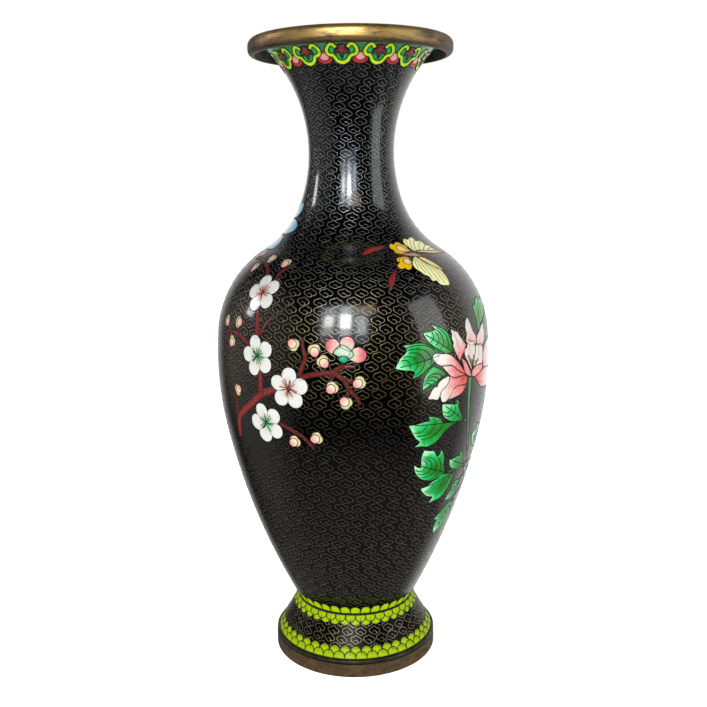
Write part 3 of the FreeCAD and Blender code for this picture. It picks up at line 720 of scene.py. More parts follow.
stamens = Wires(0.58, DARK_RIDGE)
STAMEN_COUNT = 13
for angle, height, heading, _ in BLOSSOMS:
    middle = spot(angle, height)
    for i in range(STAMEN_COUNT):
        way = radians(heading + i * 360 / STAMEN_COUNT + rng.uniform(-8, 8))
        reach = rng.uniform(3.4, 4.8)
        bend = rng.uniform(-0.25, 0.25)
        line = [shifted(middle, r * cos(way + bend * r / 4), r * sin(way + bend * r / 4))
                for r in (0.2, reach * 0.4, reach * 0.75, reach)]
        stamens.lay(smooth(line), lift=CELL_LIFT)

SIDE_PETALS = [
    [(-10.3, 166.6), (-9.8, 167.9), (-8.3, 169), (-6.6, 168.8), (-5.1, 167.2), (-4.6, 165.6), (-6.6, 164.1),
     (-7.4, 162.6), (-8.7, 162.8), (-9.9, 164.2)],
    [(-5, 166.5), (-4.7, 168.3), (-3.3, 169.7), (-1.6, 170), (0, 168.8), (0.6, 166.9), (0.1, 164.9),
     (-0.9, 163.5), (-4.6, 165.2)],
    [(-0.9, 163.5), (0.1, 164.6), (2.1, 165.3), (3.8, 164.3), (4.9, 162.2), (4.5, 159.9), (3.2, 158.8),
     (1.5, 158.4), (-0.2, 159.3), (-1.6, 160.4)],
]
SIDE_BASE = [(-6.9, 163.8), (-4.8, 166.1), (-2.9, 165.8), (-0.6, 163.8), (0.1, 161.8), (-1.6, 160.2),
             (-3.4, 160.9), (-5.3, 161.3), (-7.2, 162.5)]
PINK_EDGE = enamel("petal_pink_edge", [(0.3, (0.46, 0.52, 0.38)), (0.52, (0.62, 0.44, 0.34)),
                                       (0.7, (0.62, 0.24, 0.22)), (0.9, (0.6, 0.1, 0.14))],
                   speckle=0.3, dark=(0.2, 0.25, 0.2))
PALE = enamel("petal_pale", [(0.0, (0.36, 0.5, 0.32)), (1.0, (0.5, 0.6, 0.44))], "rim", reach=1.6,
              speckle=0.3, dark=(0.1, 0.2, 0.12))
CALYX = enamel("calyx_green", [(0.0, (0.0, 0.25, 0.09)), (1.0, (0.01, 0.36, 0.14))], "rim", reach=1.2)
inlay("side_blossom_petals", "petal_white", PINK_EDGE, [], plum_wires,
      [[outline(points)] for points in SIDE_PETALS], tone=away_from(spot(-3.2, 162.6)))
inlay("side_blossom_base", "petal_white", PALE, [], plum_wires, [[outline(SIDE_BASE)]], 0.02)
inlay("side_blossom_calyx", "leaf_green", CALYX, [], plum_wires, [[oval(spot(-3.5, 160.1), 4.3, 3)]], 0.04)

BUDS = [(-23, 165.8), (-14.5, 163.5), (-11, 158.7), (2, 149.7), (-8, 147.3), (-3, 141), (-14.7, 124),
        (-24, 121.5), (-52, 141.3), (-56.5, 163), (-52.5, 172.5), (-63, 171.5), (-38.5, 199.2),
        (-53, 200.8), (-62, 196.2), (-70.5, 202)]
SEPAL = enamel("bud_sepal", [(0.0, (0.45, 0.36, 0.18)), (1.0, (0.66, 0.57, 0.32))], "rim", reach=1.2)
BUD = enamel("bud_cream", [(0.2, (0.74, 0.28, 0.24)), (0.5, (0.78, 0.5, 0.38)), (0.8, (0.74, 0.7, 0.38))])
sepals, balls = Cells(plum_wires), Cells(plum_wires)
for angle, height in BUDS:
    middle = spot(angle, height)
    way = radians(rng.uniform(0, 360))
    sepals.add([oval(shifted(middle, cos(way + aside), sin(way + aside)), 4.6, 4.1, degrees(way))
                for aside in (2.2, -2.2)])
    balls.add([oval(shifted(middle, 0.6 * cos(way), 0.6 * sin(way)), 4.3, 4, degrees(way))],
              lambda place: 0.5 - (sin(way) * (place[1] - middle[1])
                                   + cos(way) * (place[0] - middle[0]) * wall(middle[1])[0]) / 5,
              layer=0.08, spacing=0.8)
sepals.finish("plum_bud_sepals", "bud_cream", SEPAL, ["plum_buds"])
balls.finish("plum_bud_balls", "bud_cream", BUD, [])

BRANCH = [
    [(-56, 117.5, 2.6), (-55, 124, 3.2), (-53, 128.5, 3), (-48, 133, 3.2), (-43, 137, 3), (-38, 141.5, 3),
     (-31, 145, 2.6)],
    [(-38.5, 141, 2.6), (-38, 146, 2.4), (-38, 152, 2.2)],
    [(-40.3, 167, 2.2), (-41, 174, 2.2), (-42.5, 180.5, 1.8)],
    [(-38.9, 168.5, 1.4), (-36.5, 173, 1.2), (-33.3, 177, 0.8)],
    [(-44.5, 163.5, 1.8), (-50, 166.5, 1.4), (-55, 167.6, 1.2), (-60, 167.3, 1), (-64, 165.8, 0.7)],
    [(-50.5, 166.5, 1), (-52, 170, 0.8)],
    [(-58, 167.4, 1), (-61.5, 169.8, 0.8)],
    [(-54.6, 128, 1.4), (-54.3, 133, 1.3), (-54, 137, 1.1), (-52.8, 139, 0.8)],
    [(-54.3, 136, 1.1), (-57, 141, 0.7)],
    [(-20.5, 151, 1.8), (-15, 153, 1.6), (-7.5, 153.8, 1.6), (-3.5, 151.2, 1.4), (0.5, 150, 0.9)],
    [(-8, 154, 1.5), (-4.5, 156.3, 1.2), (0.8, 157, 0.7)],
    [(-4.8, 156, 1), (-3.4, 159, 0.7)],
    [(-3.5, 151.2, 1.3), (-1.5, 147, 1.2), (1, 143.5, 0.9), (2.3, 140, 0.6)],
    [(-1.8, 147, 1), (-2.3, 143.5, 0.8)],
    [(-8.2, 153.5, 1), (-8.3, 150, 0.8)],
    [(-20.5, 151.5, 1.6), (-19.3, 156, 1.5), (-18, 160, 1.3), (-19, 164.5, 0.9), (-19.3, 169, 0.6)],
    [(-30.5, 129.8, 1.2), (-25, 127, 1.1), (-20, 124, 1), (-15.8, 118.8, 0.6)],
    [(-45, 193.5, 1.4), (-50, 197, 1.4), (-57, 199, 1.2), (-65, 200, 1), (-73, 199.6, 0.7)],
    [(-39, 192, 1.2), (-37.5, 196, 1.1), (-35, 197.2, 0.9), (-31, 198.2, 0.6)],
]
BRANCH_RED = enamel("branch_red", [(0.0, (0.06, 0.004, 0.004)), (0.5, (0.15, 0.009, 0.008)),
                                   (1.0, (0.19, 0.013, 0.011))], "rim", reach=1.4, ior=1.35)
BARK = 0.5      # added to the width of every twig
twigs = [[stroke([(angle, height, width + BARK) for angle, height, width in points])] for points in BRANCH]
inlay("plum_branch_enamel", "branch_red", BRANCH_RED, ["plum_branch"], plum_wires, twigs, -0.03, 0.8)
plum_wires.finish("plum_wires", WIRE_DARK)

# ------------------------------------------------------------------ butterfly

wing_wires = Wires(DARK_WIDTH, DARK_RIDGE)
GOLD = enamel("wing_gold", [(0.0, (0.7, 0.36, 0.005)), (0.5, (0.8, 0.44, 0.008)), (1.0, (0.78, 0.46, 0.01))],
              "rim", reach=1.8, dark=(0.5, 0.25, 0.05))
PALE_WING = enamel("wing_pale", [(0.0, (0.56, 0.72, 0.28)), (0.4, (0.84, 0.84, 0.36)),
                                 (1.0, (0.88, 0.82, 0.4))],
                   "rim", reach=2.2, dark=(0.5, 0.45, 0.2))
BROWN = enamel("insect_brown", [(0.0, (0.2, 0.07, 0.03)), (1.0, (0.5, 0.3, 0.18))], "rim", reach=0.9)
FEELER = enamel("feeler_red", [(0.0, (0.1, 0.006, 0.006)), (1.0, (0.24, 0.014, 0.012))], "rim", reach=0.9)

FOREWINGS = [
    [(25.6, 206), (26.4, 207.1), (27.9, 207.5), (30, 207.1), (31.9, 207.9), (35.2, 207.8), (36.6, 206.9),
     (38.9, 206.4), (38.9, 205.3), (39.6, 203.9), (35.6, 203.5), (31.1, 202.9), (28, 203.2), (26.8, 203.9),
     (27.5, 204.7), (26, 205.2)],
    [(29, 201.8), (31.9, 201.9), (34, 201.5), (33.8, 200.4), (33.4, 199), (31, 196.8), (28.6, 196.4),
     (27.3, 197.2), (25.1, 196.9), (23.7, 198.2), (24.5, 199.1), (26.1, 199.6), (24.9, 200.2), (26, 201.4)],
]
FOREWING_CELLS = [
    [(30.6, 205.9), (32.9, 206.7), (35.1, 206.1), (36.6, 205.3), (38.3, 204.3), (40, 203.6), (36.9, 203.8),
     (32.6, 204.1), (30.8, 204.7)],
    [(29, 200.5), (30.9, 201.2), (32.7, 200.9), (33.6, 200.2), (33.2, 199), (30.4, 198.7), (28.8, 199.4)],
]
HINDWINGS = [
    [(42.4, 203.9), (40.4, 205.5), (39.4, 206.8), (39.8, 208.3), (42.6, 209.4), (45.8, 208.9),
     (49.9, 209.8), (53.1, 209.3), (54.2, 208), (59.8, 207.8), (61.4, 206.2), (65.6, 205.3),
     (65.7, 204), (67.9, 203), (60.2, 203.2), (54.9, 203.7), (46.6, 204)],
    [(38.9, 201.6), (40.6, 200.6), (42.6, 198.8), (45.9, 197.4), (50.1, 195.6), (51.1, 192.7), (50, 188.9),
     (47.6, 188.5), (43.6, 189.2), (42.2, 191), (39.8, 191), (38.8, 193), (36.8, 194), (35.4, 195.3),
     (33.4, 197), (33.6, 198.9), (36.3, 200.8)],
]
STRIPS = [
    [(43.6, 203.5), (50.2, 203.9), (57.6, 203.4), (66.8, 203), (76, 201.4), (67, 201.9), (57.6, 202.2),
     (51.3, 202.8)],
    [(41.4, 201.9), (45.1, 200.9), (47.9, 199.4), (50.5, 197.4), (52.2, 195), (47.8, 196.4), (44.1, 198.4),
     (41.7, 200.2)],
]
BODY = [(28.6, 202.7), (34.2, 203.2), (38.7, 203.3), (41.3, 203), (45.7, 201.4), (39.9, 201.5), (34.6, 202)]
FEELERS = [
    [(5.2, 203.2), (8.6, 205.3), (13.6, 206.4), (19.4, 206.8), (23.6, 206.6), (19.4, 205.4),
     (14, 204.4), (9, 203.2)],
    [(16.3, 188.4), (16.5, 192.4), (19.1, 195.1), (21.9, 196.7), (20.6, 193.9), (18.6, 190.8)],
]
# Veins of the wings, from the body outwards.
WING_VEINS = [
    [(41.5, 204.3), (41, 206), (42.6, 208.6)], [(43, 204.2), (44.4, 206.6), (48, 208.6)],
    [(45, 204.1), (48.4, 206.8), (52.6, 208.4)], [(48, 204), (52.6, 206), (57.5, 207.2)],
    [(52, 203.9), (57, 205.2), (61.5, 205.8)], [(57, 203.7), (61, 204.3), (65, 204.4)],
    [(36.6, 200.6), (35.6, 198.6), (35.2, 196.4)], [(38, 201), (37.4, 198), (38.2, 194.6)],
    [(39.2, 200.8), (39.6, 197), (40.6, 192.4)], [(40.6, 199.9), (42.6, 195.6), (43.8, 190.6)],
    [(42.4, 198.8), (45.6, 194.4), (46.8, 189.8)], [(44.6, 197.7), (48, 194), (49.4, 190.6)],
    [(47.2, 196.6), (49.8, 194.4), (50.6, 192.2)],
    [(23.6, 206.6), (27, 204.3), (30, 203.1)], [(21.9, 196.7), (26, 200), (29.5, 202.4)],
    [(31, 202.6), (36, 202.7), (42, 202.3)],
]
CREAM = enamel("wing_cream", [(0.0, (0.78, 0.5, 0.16)), (1.0, (0.84, 0.64, 0.3))], "rim", reach=1.2,
               dark=(0.4, 0.2, 0.05))
# Piece, slot, material, node, layer and outlines.
BUTTERFLY = [
    ("butterfly_hindwing_cells", "wing_pale", PALE_WING, ["butterfly_hindwings"], -0.01, HINDWINGS),
    ("butterfly_strips", "wing_gold", CREAM, [], 0.0, STRIPS),
    ("butterfly_forewing_cells", "wing_gold", GOLD, ["butterfly_forewings"], 0.01, FOREWINGS),
    ("butterfly_forewing_hearts", "wing_pale", CREAM, [], 0.03, FOREWING_CELLS),
    ("butterfly_body_cells", "insect_brown", BROWN, ["butterfly_body"], 0.03, [BODY]),
    ("butterfly_feelers", "red_enamel", FEELER, [], 0.0, FEELERS),
]
for name, slot, material, nodes, layer, shapes in BUTTERFLY:
    inlay(name, slot, material, nodes, wing_wires, [[outline(points)] for points in shapes], layer, 0.8)
for points in WING_VEINS:
    wing_wires.draw(points, CELL_LIFT, 0.4)
wing_wires.finish("butterfly_wires", WIRE_DARK)

# ------------------------------------------------------------------ peony

peony_wires = Wires(DARK_WIDTH, DARK_RIDGE)
HEART = spot(54, 148.5)
HEART_RADIUS = 60       # of the wall
HEART_REACH = 29


def from_heart(place):
    """Distance from the heart of the flower, as a part of its reach."""
    across = (place[0] - HEART[0]) * HEART_RADIUS
    return min(1, math.hypot(across, place[1] - HEART[1]) / HEART_REACH)


# Outline of each petal, its layer, and the least distance its colour takes from the heart.
PEONY = [
    ([(41.3, 169.9), (41.7, 167.5), (41.4, 165.8), (42.2, 163.6), (41.9, 162.1), (42.9, 159.9),
      (44.3, 157.1), (45.8, 155.1), (46.6, 156.6), (48.5, 158.6), (49.3, 160.3), (50.4, 161.4),
      (48.8, 163), (46.4, 166.1), (45.2, 168.1), (43.6, 168.8)], 0.0, 0.1),
    ([(53.3, 173.6), (51.1, 171.4), (50.6, 168.6), (51.1, 166.5), (50.4, 164.6), (50.6, 162.4),
      (54.7, 160.6), (58.4, 161), (58.4, 164.3), (55.8, 167.8), (54.8, 171.2)], 0.0, 0),
    ([(67.6, 169.3), (61.6, 166.1), (59.1, 163.2), (58.8, 160.4), (62.2, 159), (65.9, 159), (68.8, 162.1),
      (68.9, 165.6)], 0.0, 0),
    ([(65.6, 150.6), (65.6, 154.1), (67.2, 157), (70.6, 159), (76.4, 160.4), (81.5, 159), (85, 155),
      (84.6, 149), (80.5, 146), (75, 146.4), (66.8, 148)], 0.0, 0.5),
    ([(57.2, 145.2), (60.1, 145.9), (64, 147), (69.6, 147.2), (76, 146), (82.5, 143.6), (85.4, 140),
      (83, 135.6), (78, 135.2), (74.2, 136.9), (66.3, 138.2), (62.6, 139.9), (59.4, 142.6)], 0.0, 0.2),
    ([(50.8, 144.5), (49.5, 141.5), (47.3, 139.6), (45.1, 138.9), (42.1, 138.4), (39.4, 138.2),
      (40.6, 139.8), (41.6, 141.5), (42.8, 142.6), (44.5, 143.5), (47, 143.6), (49.5, 143.4)], 0.0, 0.3),
    ([(29.4, 140.1), (30.2, 142.1), (31.1, 144), (32.5, 145.3), (33.4, 144.9), (33.9, 146.3), (35.1, 147.7),
      (37.3, 148.6), (39.5, 149), (39.7, 147.2), (38.9, 145.4), (37.4, 144.1), (35.9, 143), (35.2, 141.2),
      (33.9, 139.1), (31.7, 139.6)], 0.01, 0.75),
    ([(39.5, 149), (42.2, 147.8), (45.2, 147.9), (48.4, 147.7), (50.8, 146.6), (50.8, 144.6), (49.5, 143.1),
      (46.7, 143.5), (44.1, 143.4), (42.4, 142.4), (41.4, 141.1), (40.6, 139.4), (39.3, 138.1),
      (37.8, 137.4), (36.2, 137.6), (35.5, 139.1), (35.1, 141), (35.9, 143), (37.4, 144.1),
      (38.9, 145.4), (39.7, 147.2)], 0.02, 0),
    ([(36, 154.3), (40.4, 153.9), (42.1, 153), (45.1, 150.4), (48.9, 148.2), (46.4, 147.6), (44, 147.4),
      (42.2, 147.8), (40.3, 148.9), (38.7, 150.5), (37, 152.4)], 0.01, 0.35),
    ([(31.3, 158.4), (31.9, 159.8), (33.2, 160.3), (36.1, 159.6), (37.9, 159.5), (40.6, 158.4),
      (42.8, 156.4), (44.8, 154.3), (46.9, 151.7), (49, 149.3), (48.9, 148.2), (45.1, 150.2),
      (42.1, 152.8), (40.4, 153.6), (36.2, 154), (34.2, 154.8), (32.5, 156.2)], 0.02, 0),
    ([(48.7, 158.2), (49.2, 159.8), (50.6, 160.3), (51.2, 162.3), (52.4, 163.5), (53.8, 162.3),
      (55.2, 162.6), (56.4, 161.5), (57.3, 159.7), (57.5, 157.8), (56.9, 155.5), (55.6, 153.4),
      (54.3, 149.2), (52.3, 151.6), (50.4, 154.4), (49.4, 156)], 0.03, 0.68),
    ([(57.7, 159.8), (59.2, 160.3), (60.6, 159.7), (62.4, 159.8), (64.6, 158.7), (65.5, 156.2),
      (65.3, 153.3), (64.5, 149.9), (59.9, 150.4), (56, 149.8), (54.5, 148.7), (55.6, 153.4),
      (56.9, 155.5), (57.5, 157.7)],
     0.03, 0.68),
    ([(46.6, 156), (48.4, 154.9), (50.1, 153.3), (51.6, 150.9), (52.8, 148.8), (54, 146.4), (51.5, 146.9),
      (49.2, 148.8), (48.3, 151.1), (47.5, 153.6)], 0.04, 0.42),
    ([(64.2, 150.2), (64.6, 148.2), (62.2, 146.7), (59.1, 145.7), (56.2, 145.5), (54.2, 146.5),
      (54.6, 148.5), (56.1, 149.9), (58.8, 150.5)], 0.04, 0.46),
]
PEONY_PINK = enamel("peony_pink", [(0.08, (0.22, 0.01, 0.012)), (0.22, (0.56, 0.06, 0.045)),
                                   (0.42, (0.7, 0.19, 0.19)), (0.56, (0.68, 0.43, 0.38)),
                                   (0.72, (0.66, 0.61, 0.54))], speckle=0.2, dark=(0.4, 0.22, 0.16))
cells = Cells(peony_wires)
for points, layer, least in PEONY:
    cells.add([outline(points)], lambda place, least=least: max(least, from_heart(place)), layer=layer)
cells.finish("peony_petal_cells", "peony_pink", PEONY_PINK, ["peony_petals"])
FOLDS = [
    [(59.4, 142.9), (62.2, 141.8), (65.6, 140.2), (68.1, 137.9)], [(42.6, 168.5), (44.2, 164.6),
     (45.6, 160)],
    [(52.6, 163), (52.8, 160), (53.4, 157)], [(60.6, 159.5), (60.4, 157), (60.2, 154.6)],
]
for points in FOLDS:
    peony_wires.draw(points, CELL_LIFT + 0.03, 0.24)

STAMENS = [(51.6, 155.8), (52.1, 154.1), (53.9, 153.6), (55.6, 155.3), (55.6, 153.2), (57.4, 152.1),
           (59.3, 152.9)]
YELLOW = enamel("peony_heart", [(0.0, (0.34, 0.22, 0.03)), (1.0, (0.6, 0.45, 0.08))], "rim", reach=0.6)
cells = Cells(peony_wires)
cells.add([blade(spot(54.4, 148.4), spot(55, 153.4), 1.6, 0.8)], layer=0.05, spacing=0.7)
for angle, height in STAMENS:
    cells.add([oval(spot(angle, height), 1.3, 1.5, count=12)], layer=0.12, spacing=0.5, wire=0.24)
    line = [(54.4, 149.6, 0.5), ((54.4 + angle) / 2, height - 2, 0.5), (angle, height, 0.5)]
    cells.add([stroke(line)], layer=0.07, spacing=0.5, wire=0.24)
cells.finish("peony_heart_cells", "bud_cream", YELLOW, ["peony_heart"])

STEM_GREEN = enamel("stem_green", [(0.0, (0.02, 0.09, 0.03)), (1.0, (0.05, 0.18, 0.06))], "rim", reach=0.8)
STEM = [
    [(53, 146, 3.4), (53.1, 136, 2.7), (54.6, 126, 2.1), (58.5, 114, 1.8), (64.5, 103.5, 1.5),
     (74, 95, 1.3)],
    [(46, 126.6, 0.9), (50, 126, 1), (54.6, 124.5, 1)],
    [(47, 101, 1), (56, 101, 1), (66, 102, 1)],
    [(60, 92, 1), (66, 95, 1), (72, 96.5, 1)],
    [(60, 83, 1), (68, 88, 1), (76, 92.5, 1)],
]
inlay("peony_stem_cells", "stem_green", STEM_GREEN, ["peony_stem"], peony_wires,
      [[stroke(points)] for points in STEM], -0.03, 0.8)

# Outline of each leaf from its base round by its tips: the points, and the index of each tip.
LEAVES = [
    ([(34.5, 159), (34, 161.5), (32, 163), (29.4, 164.6), (26, 165.6), (22.5, 165.4), (19, 165.2),
      (20.3, 162.5), (17.6, 159.4), (15.6, 155.2), (18.8, 154.2), (21.9, 153.8), (23.4, 152.8),
      (22.5, 150.2), (25, 151), (27.5, 152.4), (30, 154.5), (32.5, 156)], (0, 6, 9, 13)),
    ([(41.8, 159.6), (41.2, 164), (40, 167.5), (38, 170.2), (35, 171.6), (31.5, 173.4), (33, 170.6),
      (30.6, 170.2), (27.5, 169.8), (28.8, 167), (30, 165.3), (32.5, 163), (35.6, 160.8),
      (38, 159.5)], (0, 5, 8)),
    ([(38.5, 150.2), (35, 153), (31.3, 154.4), (28.8, 152), (27.2, 148.5), (26.8, 144.4), (29.4, 145.6),
      (32.5, 146.2), (35, 148.2)], (0, 5)),
    ([(51.3, 125.7), (48.1, 129.7), (46.9, 132.4), (45.9, 135.5), (44.4, 137.2), (44.5, 135.2),
      (42.8, 135.2), (40, 136), (36.4, 136.4), (36.8, 133), (37.8, 130.5), (40.6, 128.3), (43.8, 126.8),
      (47.5, 126.2)], (0, 4, 8)),
    ([(46.8, 126.4), (43, 127), (40, 127), (37.5, 127.8), (36, 130), (33, 131.3), (30, 131.9),
      (30.6, 129.7), (28, 129.6), (25, 129), (21.4, 128.9), (23.4, 125), (25, 122.3), (27, 120.2),
      (24.6, 118.2), (28, 118), (31.3, 117.5), (35, 118.9), (37.5, 121.3), (40, 123.6),
      (43.8, 125.4)], (0, 6, 10, 14)),
    ([(44.4, 101.6), (42.5, 106), (41.6, 110), (40.6, 112.5), (39.1, 114.2), (38.1, 111.6), (36.9, 111.6),
      (35, 114.4), (32.5, 115), (29.8, 115.9), (29.1, 114), (28.8, 111.5), (29.2, 107.6), (27.5, 107.8),
      (25.6, 109.4), (26.6, 105.5), (28.1, 103.5), (30.6, 101.2), (33.8, 100), (37.5, 99.5), (41, 100.2)],
     (0, 4, 9, 14)),
    ([(53.4, 99.8), (49.4, 99.6), (46.3, 100.4), (43.1, 101), (40, 101.7), (40.4, 99.6), (37.5, 98.6),
      (34.4, 96.8), (31, 96.2), (33.1, 93.5), (36.3, 91.2), (39.6, 90), (37.6, 87.4), (42.5, 87.8),
      (46.3, 88.6), (49.4, 91.5), (51.6, 95.5)], (0, 4, 8, 12)),
    ([(61, 101), (58.1, 103.5), (56.6, 107), (55.2, 108.8), (53.7, 109.9), (53.6, 107.6), (51.3, 107.8),
      (48.8, 107.3), (45.8, 107.3), (47.2, 104), (49.4, 102.3), (52.5, 101), (56.3, 100)], (0, 4, 8)),
    ([(63, 92), (60, 93.6), (56.3, 93.6), (53, 92.2), (54.8, 90.2), (52.5, 88), (50.3, 85.4), (54.4, 85),
      (58.1, 85.6), (61.3, 87)], (0, 3, 6)),
    ([(62.5, 82.5), (58.1, 83), (55, 82.4), (51.3, 80.2), (48.8, 78.2), (45.7, 76.2), (49.2, 75.2),
      (48.4, 72), (49.1, 69.4), (50.7, 67.3), (53.8, 68.8), (56.3, 69.8), (60, 71.5),
      (62.5, 76)], (0, 5, 9)),
    ([(60, 164.6), (60.8, 171), (60.4, 175), (61.4, 178.7), (63.1, 178), (66.3, 180), (71, 181), (73, 179),
      (78, 180), (84, 178.6), (80, 175), (75, 172), (70, 170.5), (65, 168.6)], (0, 3, 6, 9)),
    ([(77, 107), (73, 114), (71, 118), (68.5, 120.2), (67, 117.5), (65, 117.8), (62.3, 115.5), (64, 112),
      (66.3, 109.6), (70, 107.5)], (0, 3, 6)),
    ([(61, 99.6), (66, 100.6), (76, 99.4), (86, 97), (97, 92), (86, 89), (76, 89.6), (67, 93.6)], (0, 4)),
    ([(78, 84), (84, 90), (92, 88), (98, 82), (93, 77), (87, 72), (82, 76)], (0, 3, 5)),
    ([(86, 107), (88, 113), (92, 117), (97, 116), (103, 110), (98, 105), (92, 103)], (0, 2, 4)),
]
LEAF = enamel("leaf_green", [(0.14, (0.0, 0.09, 0.001)), (0.36, (0.0, 0.22, 0.008)),
                             (0.6, (0.005, 0.42, 0.09)), (0.86, (0.32, 0.76, 0.38))],
              dark=(0.01, 0.16, 0.02), pull=0.05)
# Where the pairs of veins leave the midrib and where they end, and how far they bow, as parts of the leaf.
VEIN_STARTS, VEIN_END, VEIN_BOW = (0.04, 0.2, 0.36, 0.52, 0.68), 0.92, 0.34
VEIN_STEPS = 14


def add_leaf(cells, points, tips):
    """A leaf with a midrib to its longest tip, and pairs of veins that bow round towards that tip."""
    base, ring = spot(*points[0]), outline(points, tips)
    radius = wall(base[1])[0]

    def from_base(place):
        return math.hypot((place[0] - base[0]) * radius, place[1] - base[1])

    tip = max((spot(*points[i]) for i in tips[1:]), key=from_base)
    length = from_base(tip)
    fresh = rng.uniform(0.12, 0.26)
    cells.add([ring], lambda place: fresh + 0.72 * from_base(place) / length, layer=-0.01)
    way = atan2(tip[1] - base[1], (tip[0] - base[0]) * radius)

    def beside(along, aside):
        return shifted(base, along * cos(way) - aside * sin(way), along * sin(way) + aside * cos(way))

    peony_wires.lay([beside(length * t / 20, 0) for t in range(19)], lift=CELL_LIFT, width=0.56)
    for start in VEIN_STARTS:
        for side in (1, -1):
            vein = []
            for step in range(VEIN_STEPS + 1):
                t = step / VEIN_STEPS
                along = length * (start + (VEIN_END - start) * t ** 1.7)
                aside = length * side * VEIN_BOW * (1.05 - start) * sin(t * pi / 1.5)
                if step and not holds(ring, *beside(along, aside + side * 0.5)):
                    break
                vein.append(beside(along, aside))
            if len(vein) > 3:
                peony_wires.lay(vein, lift=CELL_LIFT, width=0.54)


cells = Cells(peony_wires)
for points, tips in LEAVES:
    add_leaf(cells, points, tips)
cells.finish("peony_leaf_cells", "leaf_green", LEAF, ["peony_leaves"])
peony_wires.finish("peony_wires", WIRE_DARK)
stamens.finish("stamen_wires", WIRE_DARK)

# ------------------------------------------------------------------ blue flower on the left shoulder

blue_wires = Wires(DARK_WIDTH, DARK_RIDGE)
BLUE_ANGLE = -108
BLUE_HEART = spot(BLUE_ANGLE, 214)
BLUE_RADIUS, BLUE_REACH = 33, 30
BLUE = enamel("blue_enamel", [(0.62, (0.6, 0.68, 0.52)), (0.8, (0.3, 0.52, 0.62)),
                              (0.98, (0.07, 0.26, 0.6))], speckle=0.06)
# Petals on the near side of the flower. The far side mirrors them.
BLUE_PETALS = [
    [(-64.4, 225.2), (-64.6, 223.7), (-66.2, 221.5), (-71.1, 219.3), (-78, 218.8), (-88, 219), (-94, 220.6),
     (-88, 223.6), (-78, 225.8), (-69, 226.2)],
    [(-57.6, 213.6), (-59.2, 215.8), (-62.9, 217.1), (-73, 218.4), (-85, 218.2), (-96, 216.6), (-97, 213.4),
     (-88, 211), (-72.6, 211), (-63.4, 211.9)],
    [(-64.6, 204.8), (-65.4, 207), (-68.4, 209.1), (-72.2, 210.4), (-80, 210.6), (-90, 210), (-94, 207),
     (-86, 204.6), (-76, 203.8), (-69, 204)],
]


def from_blue_heart(place):
    """Distance from the heart of the flower, as a part of the length of a petal."""
    across = (place[0] - BLUE_HEART[0]) * BLUE_RADIUS
    return math.hypot(across, place[1] - BLUE_HEART[1]) / BLUE_REACH


petals = []
for points in BLUE_PETALS:
    mirrored = [(2 * BLUE_ANGLE - angle, height) for angle, height in points]
    petals += [[outline(points)], [outline(mirrored)]]
inlay("blue_petal_cells", "blue_enamel", BLUE, ["blue_petals"], blue_wires, petals, tone=from_blue_heart)
blue_wires.finish("blue_wires", WIRE_DARK)

# ------------------------------------------------------------------ cloud wires

CLOUD = [(-0.93, -0.3), (-0.41, -0.1), (0.21, -0.2), (0.7, -0.6), (0.98, -1.2), (0.8, -1.8), (0.2, -2.1),
         (-0.6, -2.05), (-1.18, -1.65), (-1.75, -1.17), (-2.57, -0.75), (-3.02, -0.05), (-2.93, 0.7),
         (-2.49, 1.25), (-1.75, 1.5), (-1.18, 1.55), (-0.69, 1.95), (0, 2.15), (0.65, 1.9), (1, 1.4),
         (1.65, 1.05), (2.34, 0.8), (2.92, 0.2), (3.03, -0.4), (2.67, -1), (2.1, -1.3), (1.3, -1.36),
         (0.95, -1.45)]
CLOUD_GAP, CLOUD_ROW, CLOUD_TOP = 7.6, 4.15, 2.2     # to the next cloud, the next row and its own top
LEFT_SIDE, RIGHT_SIDE = 11, 22      # points of the cloud at its sides


def boxed(rings):
    """Outlines with their bounding boxes."""
    boxes = []
    for ring in rings:
        turns, runs = [turn for turn, _ in ring], [run for _, run in ring]
        boxes.append((min(turns), max(turns), min(runs), max(runs), ring))
    return boxes


MOTIFS = boxed(covered)


def taken(turn, run):
    """Whether a place is inside the outline of a cell."""
    for left, right, bottom, top, ring in MOTIFS:
        if left < turn < right and bottom < run < top and holds(ring, turn, run):
            return True
    return False


def clouds(name, bottom, top, size):
    """Staggered rows of clouds between two heights."""
    wires = Wires(0.36, 0.06)
    low, high = run_at(bottom) + CLOUD_TOP * size, run_at(top) - CLOUD_TOP * size
    rows = max(1, round((high - low) / (CLOUD_ROW * size)) + 1)
    count, offset = 0, 0
    for row in range(rows):
        run = low + (high - low) * row / max(rows - 1, 1)
        girth = 2 * pi * wall(run)[0]
        if not 0.93 < girth / max(count, 1) / (CLOUD_GAP * size) < 1.08:
            count = round(girth / (CLOUD_GAP * size))
        offset += pi / count
        for i in range(count):
            turn = (offset + 2 * pi * i / count + pi) % (2 * pi) - pi
            middle = shifted((turn, run), rng.uniform(-0.3, 0.3), rng.uniform(-0.25, 0.25))
            grow, tip = size * rng.uniform(0.93, 1.04), rng.uniform(-0.09, 0.09)
            line = []
            for x, y in CLOUD:
                across = grow * (x * cos(tip) - y * sin(tip)) + rng.uniform(-0.05, 0.05)
                up = grow * (x * sin(tip) + y * cos(tip)) + rng.uniform(-0.05, 0.05)
                line.append(shifted(middle, across, up))
            if not (taken(*middle) and taken(*line[LEFT_SIDE]) and taken(*line[RIGHT_SIDE])):
                wires.lay(line)
    wires.finish(name, WIRE)


clouds("cloud_wires_foot", 11, 24, 0.9)
clouds("cloud_wires_lower", 29, 92, 1.0)
clouds("cloud_wires_belly", 92, 142, 1.0)
clouds("cloud_wires_upper", 142, 186, 1.0)
clouds("cloud_wires_shoulder", 186, 222, 1.0)
clouds("cloud_wires_neck", 222, 290.5, 0.92)

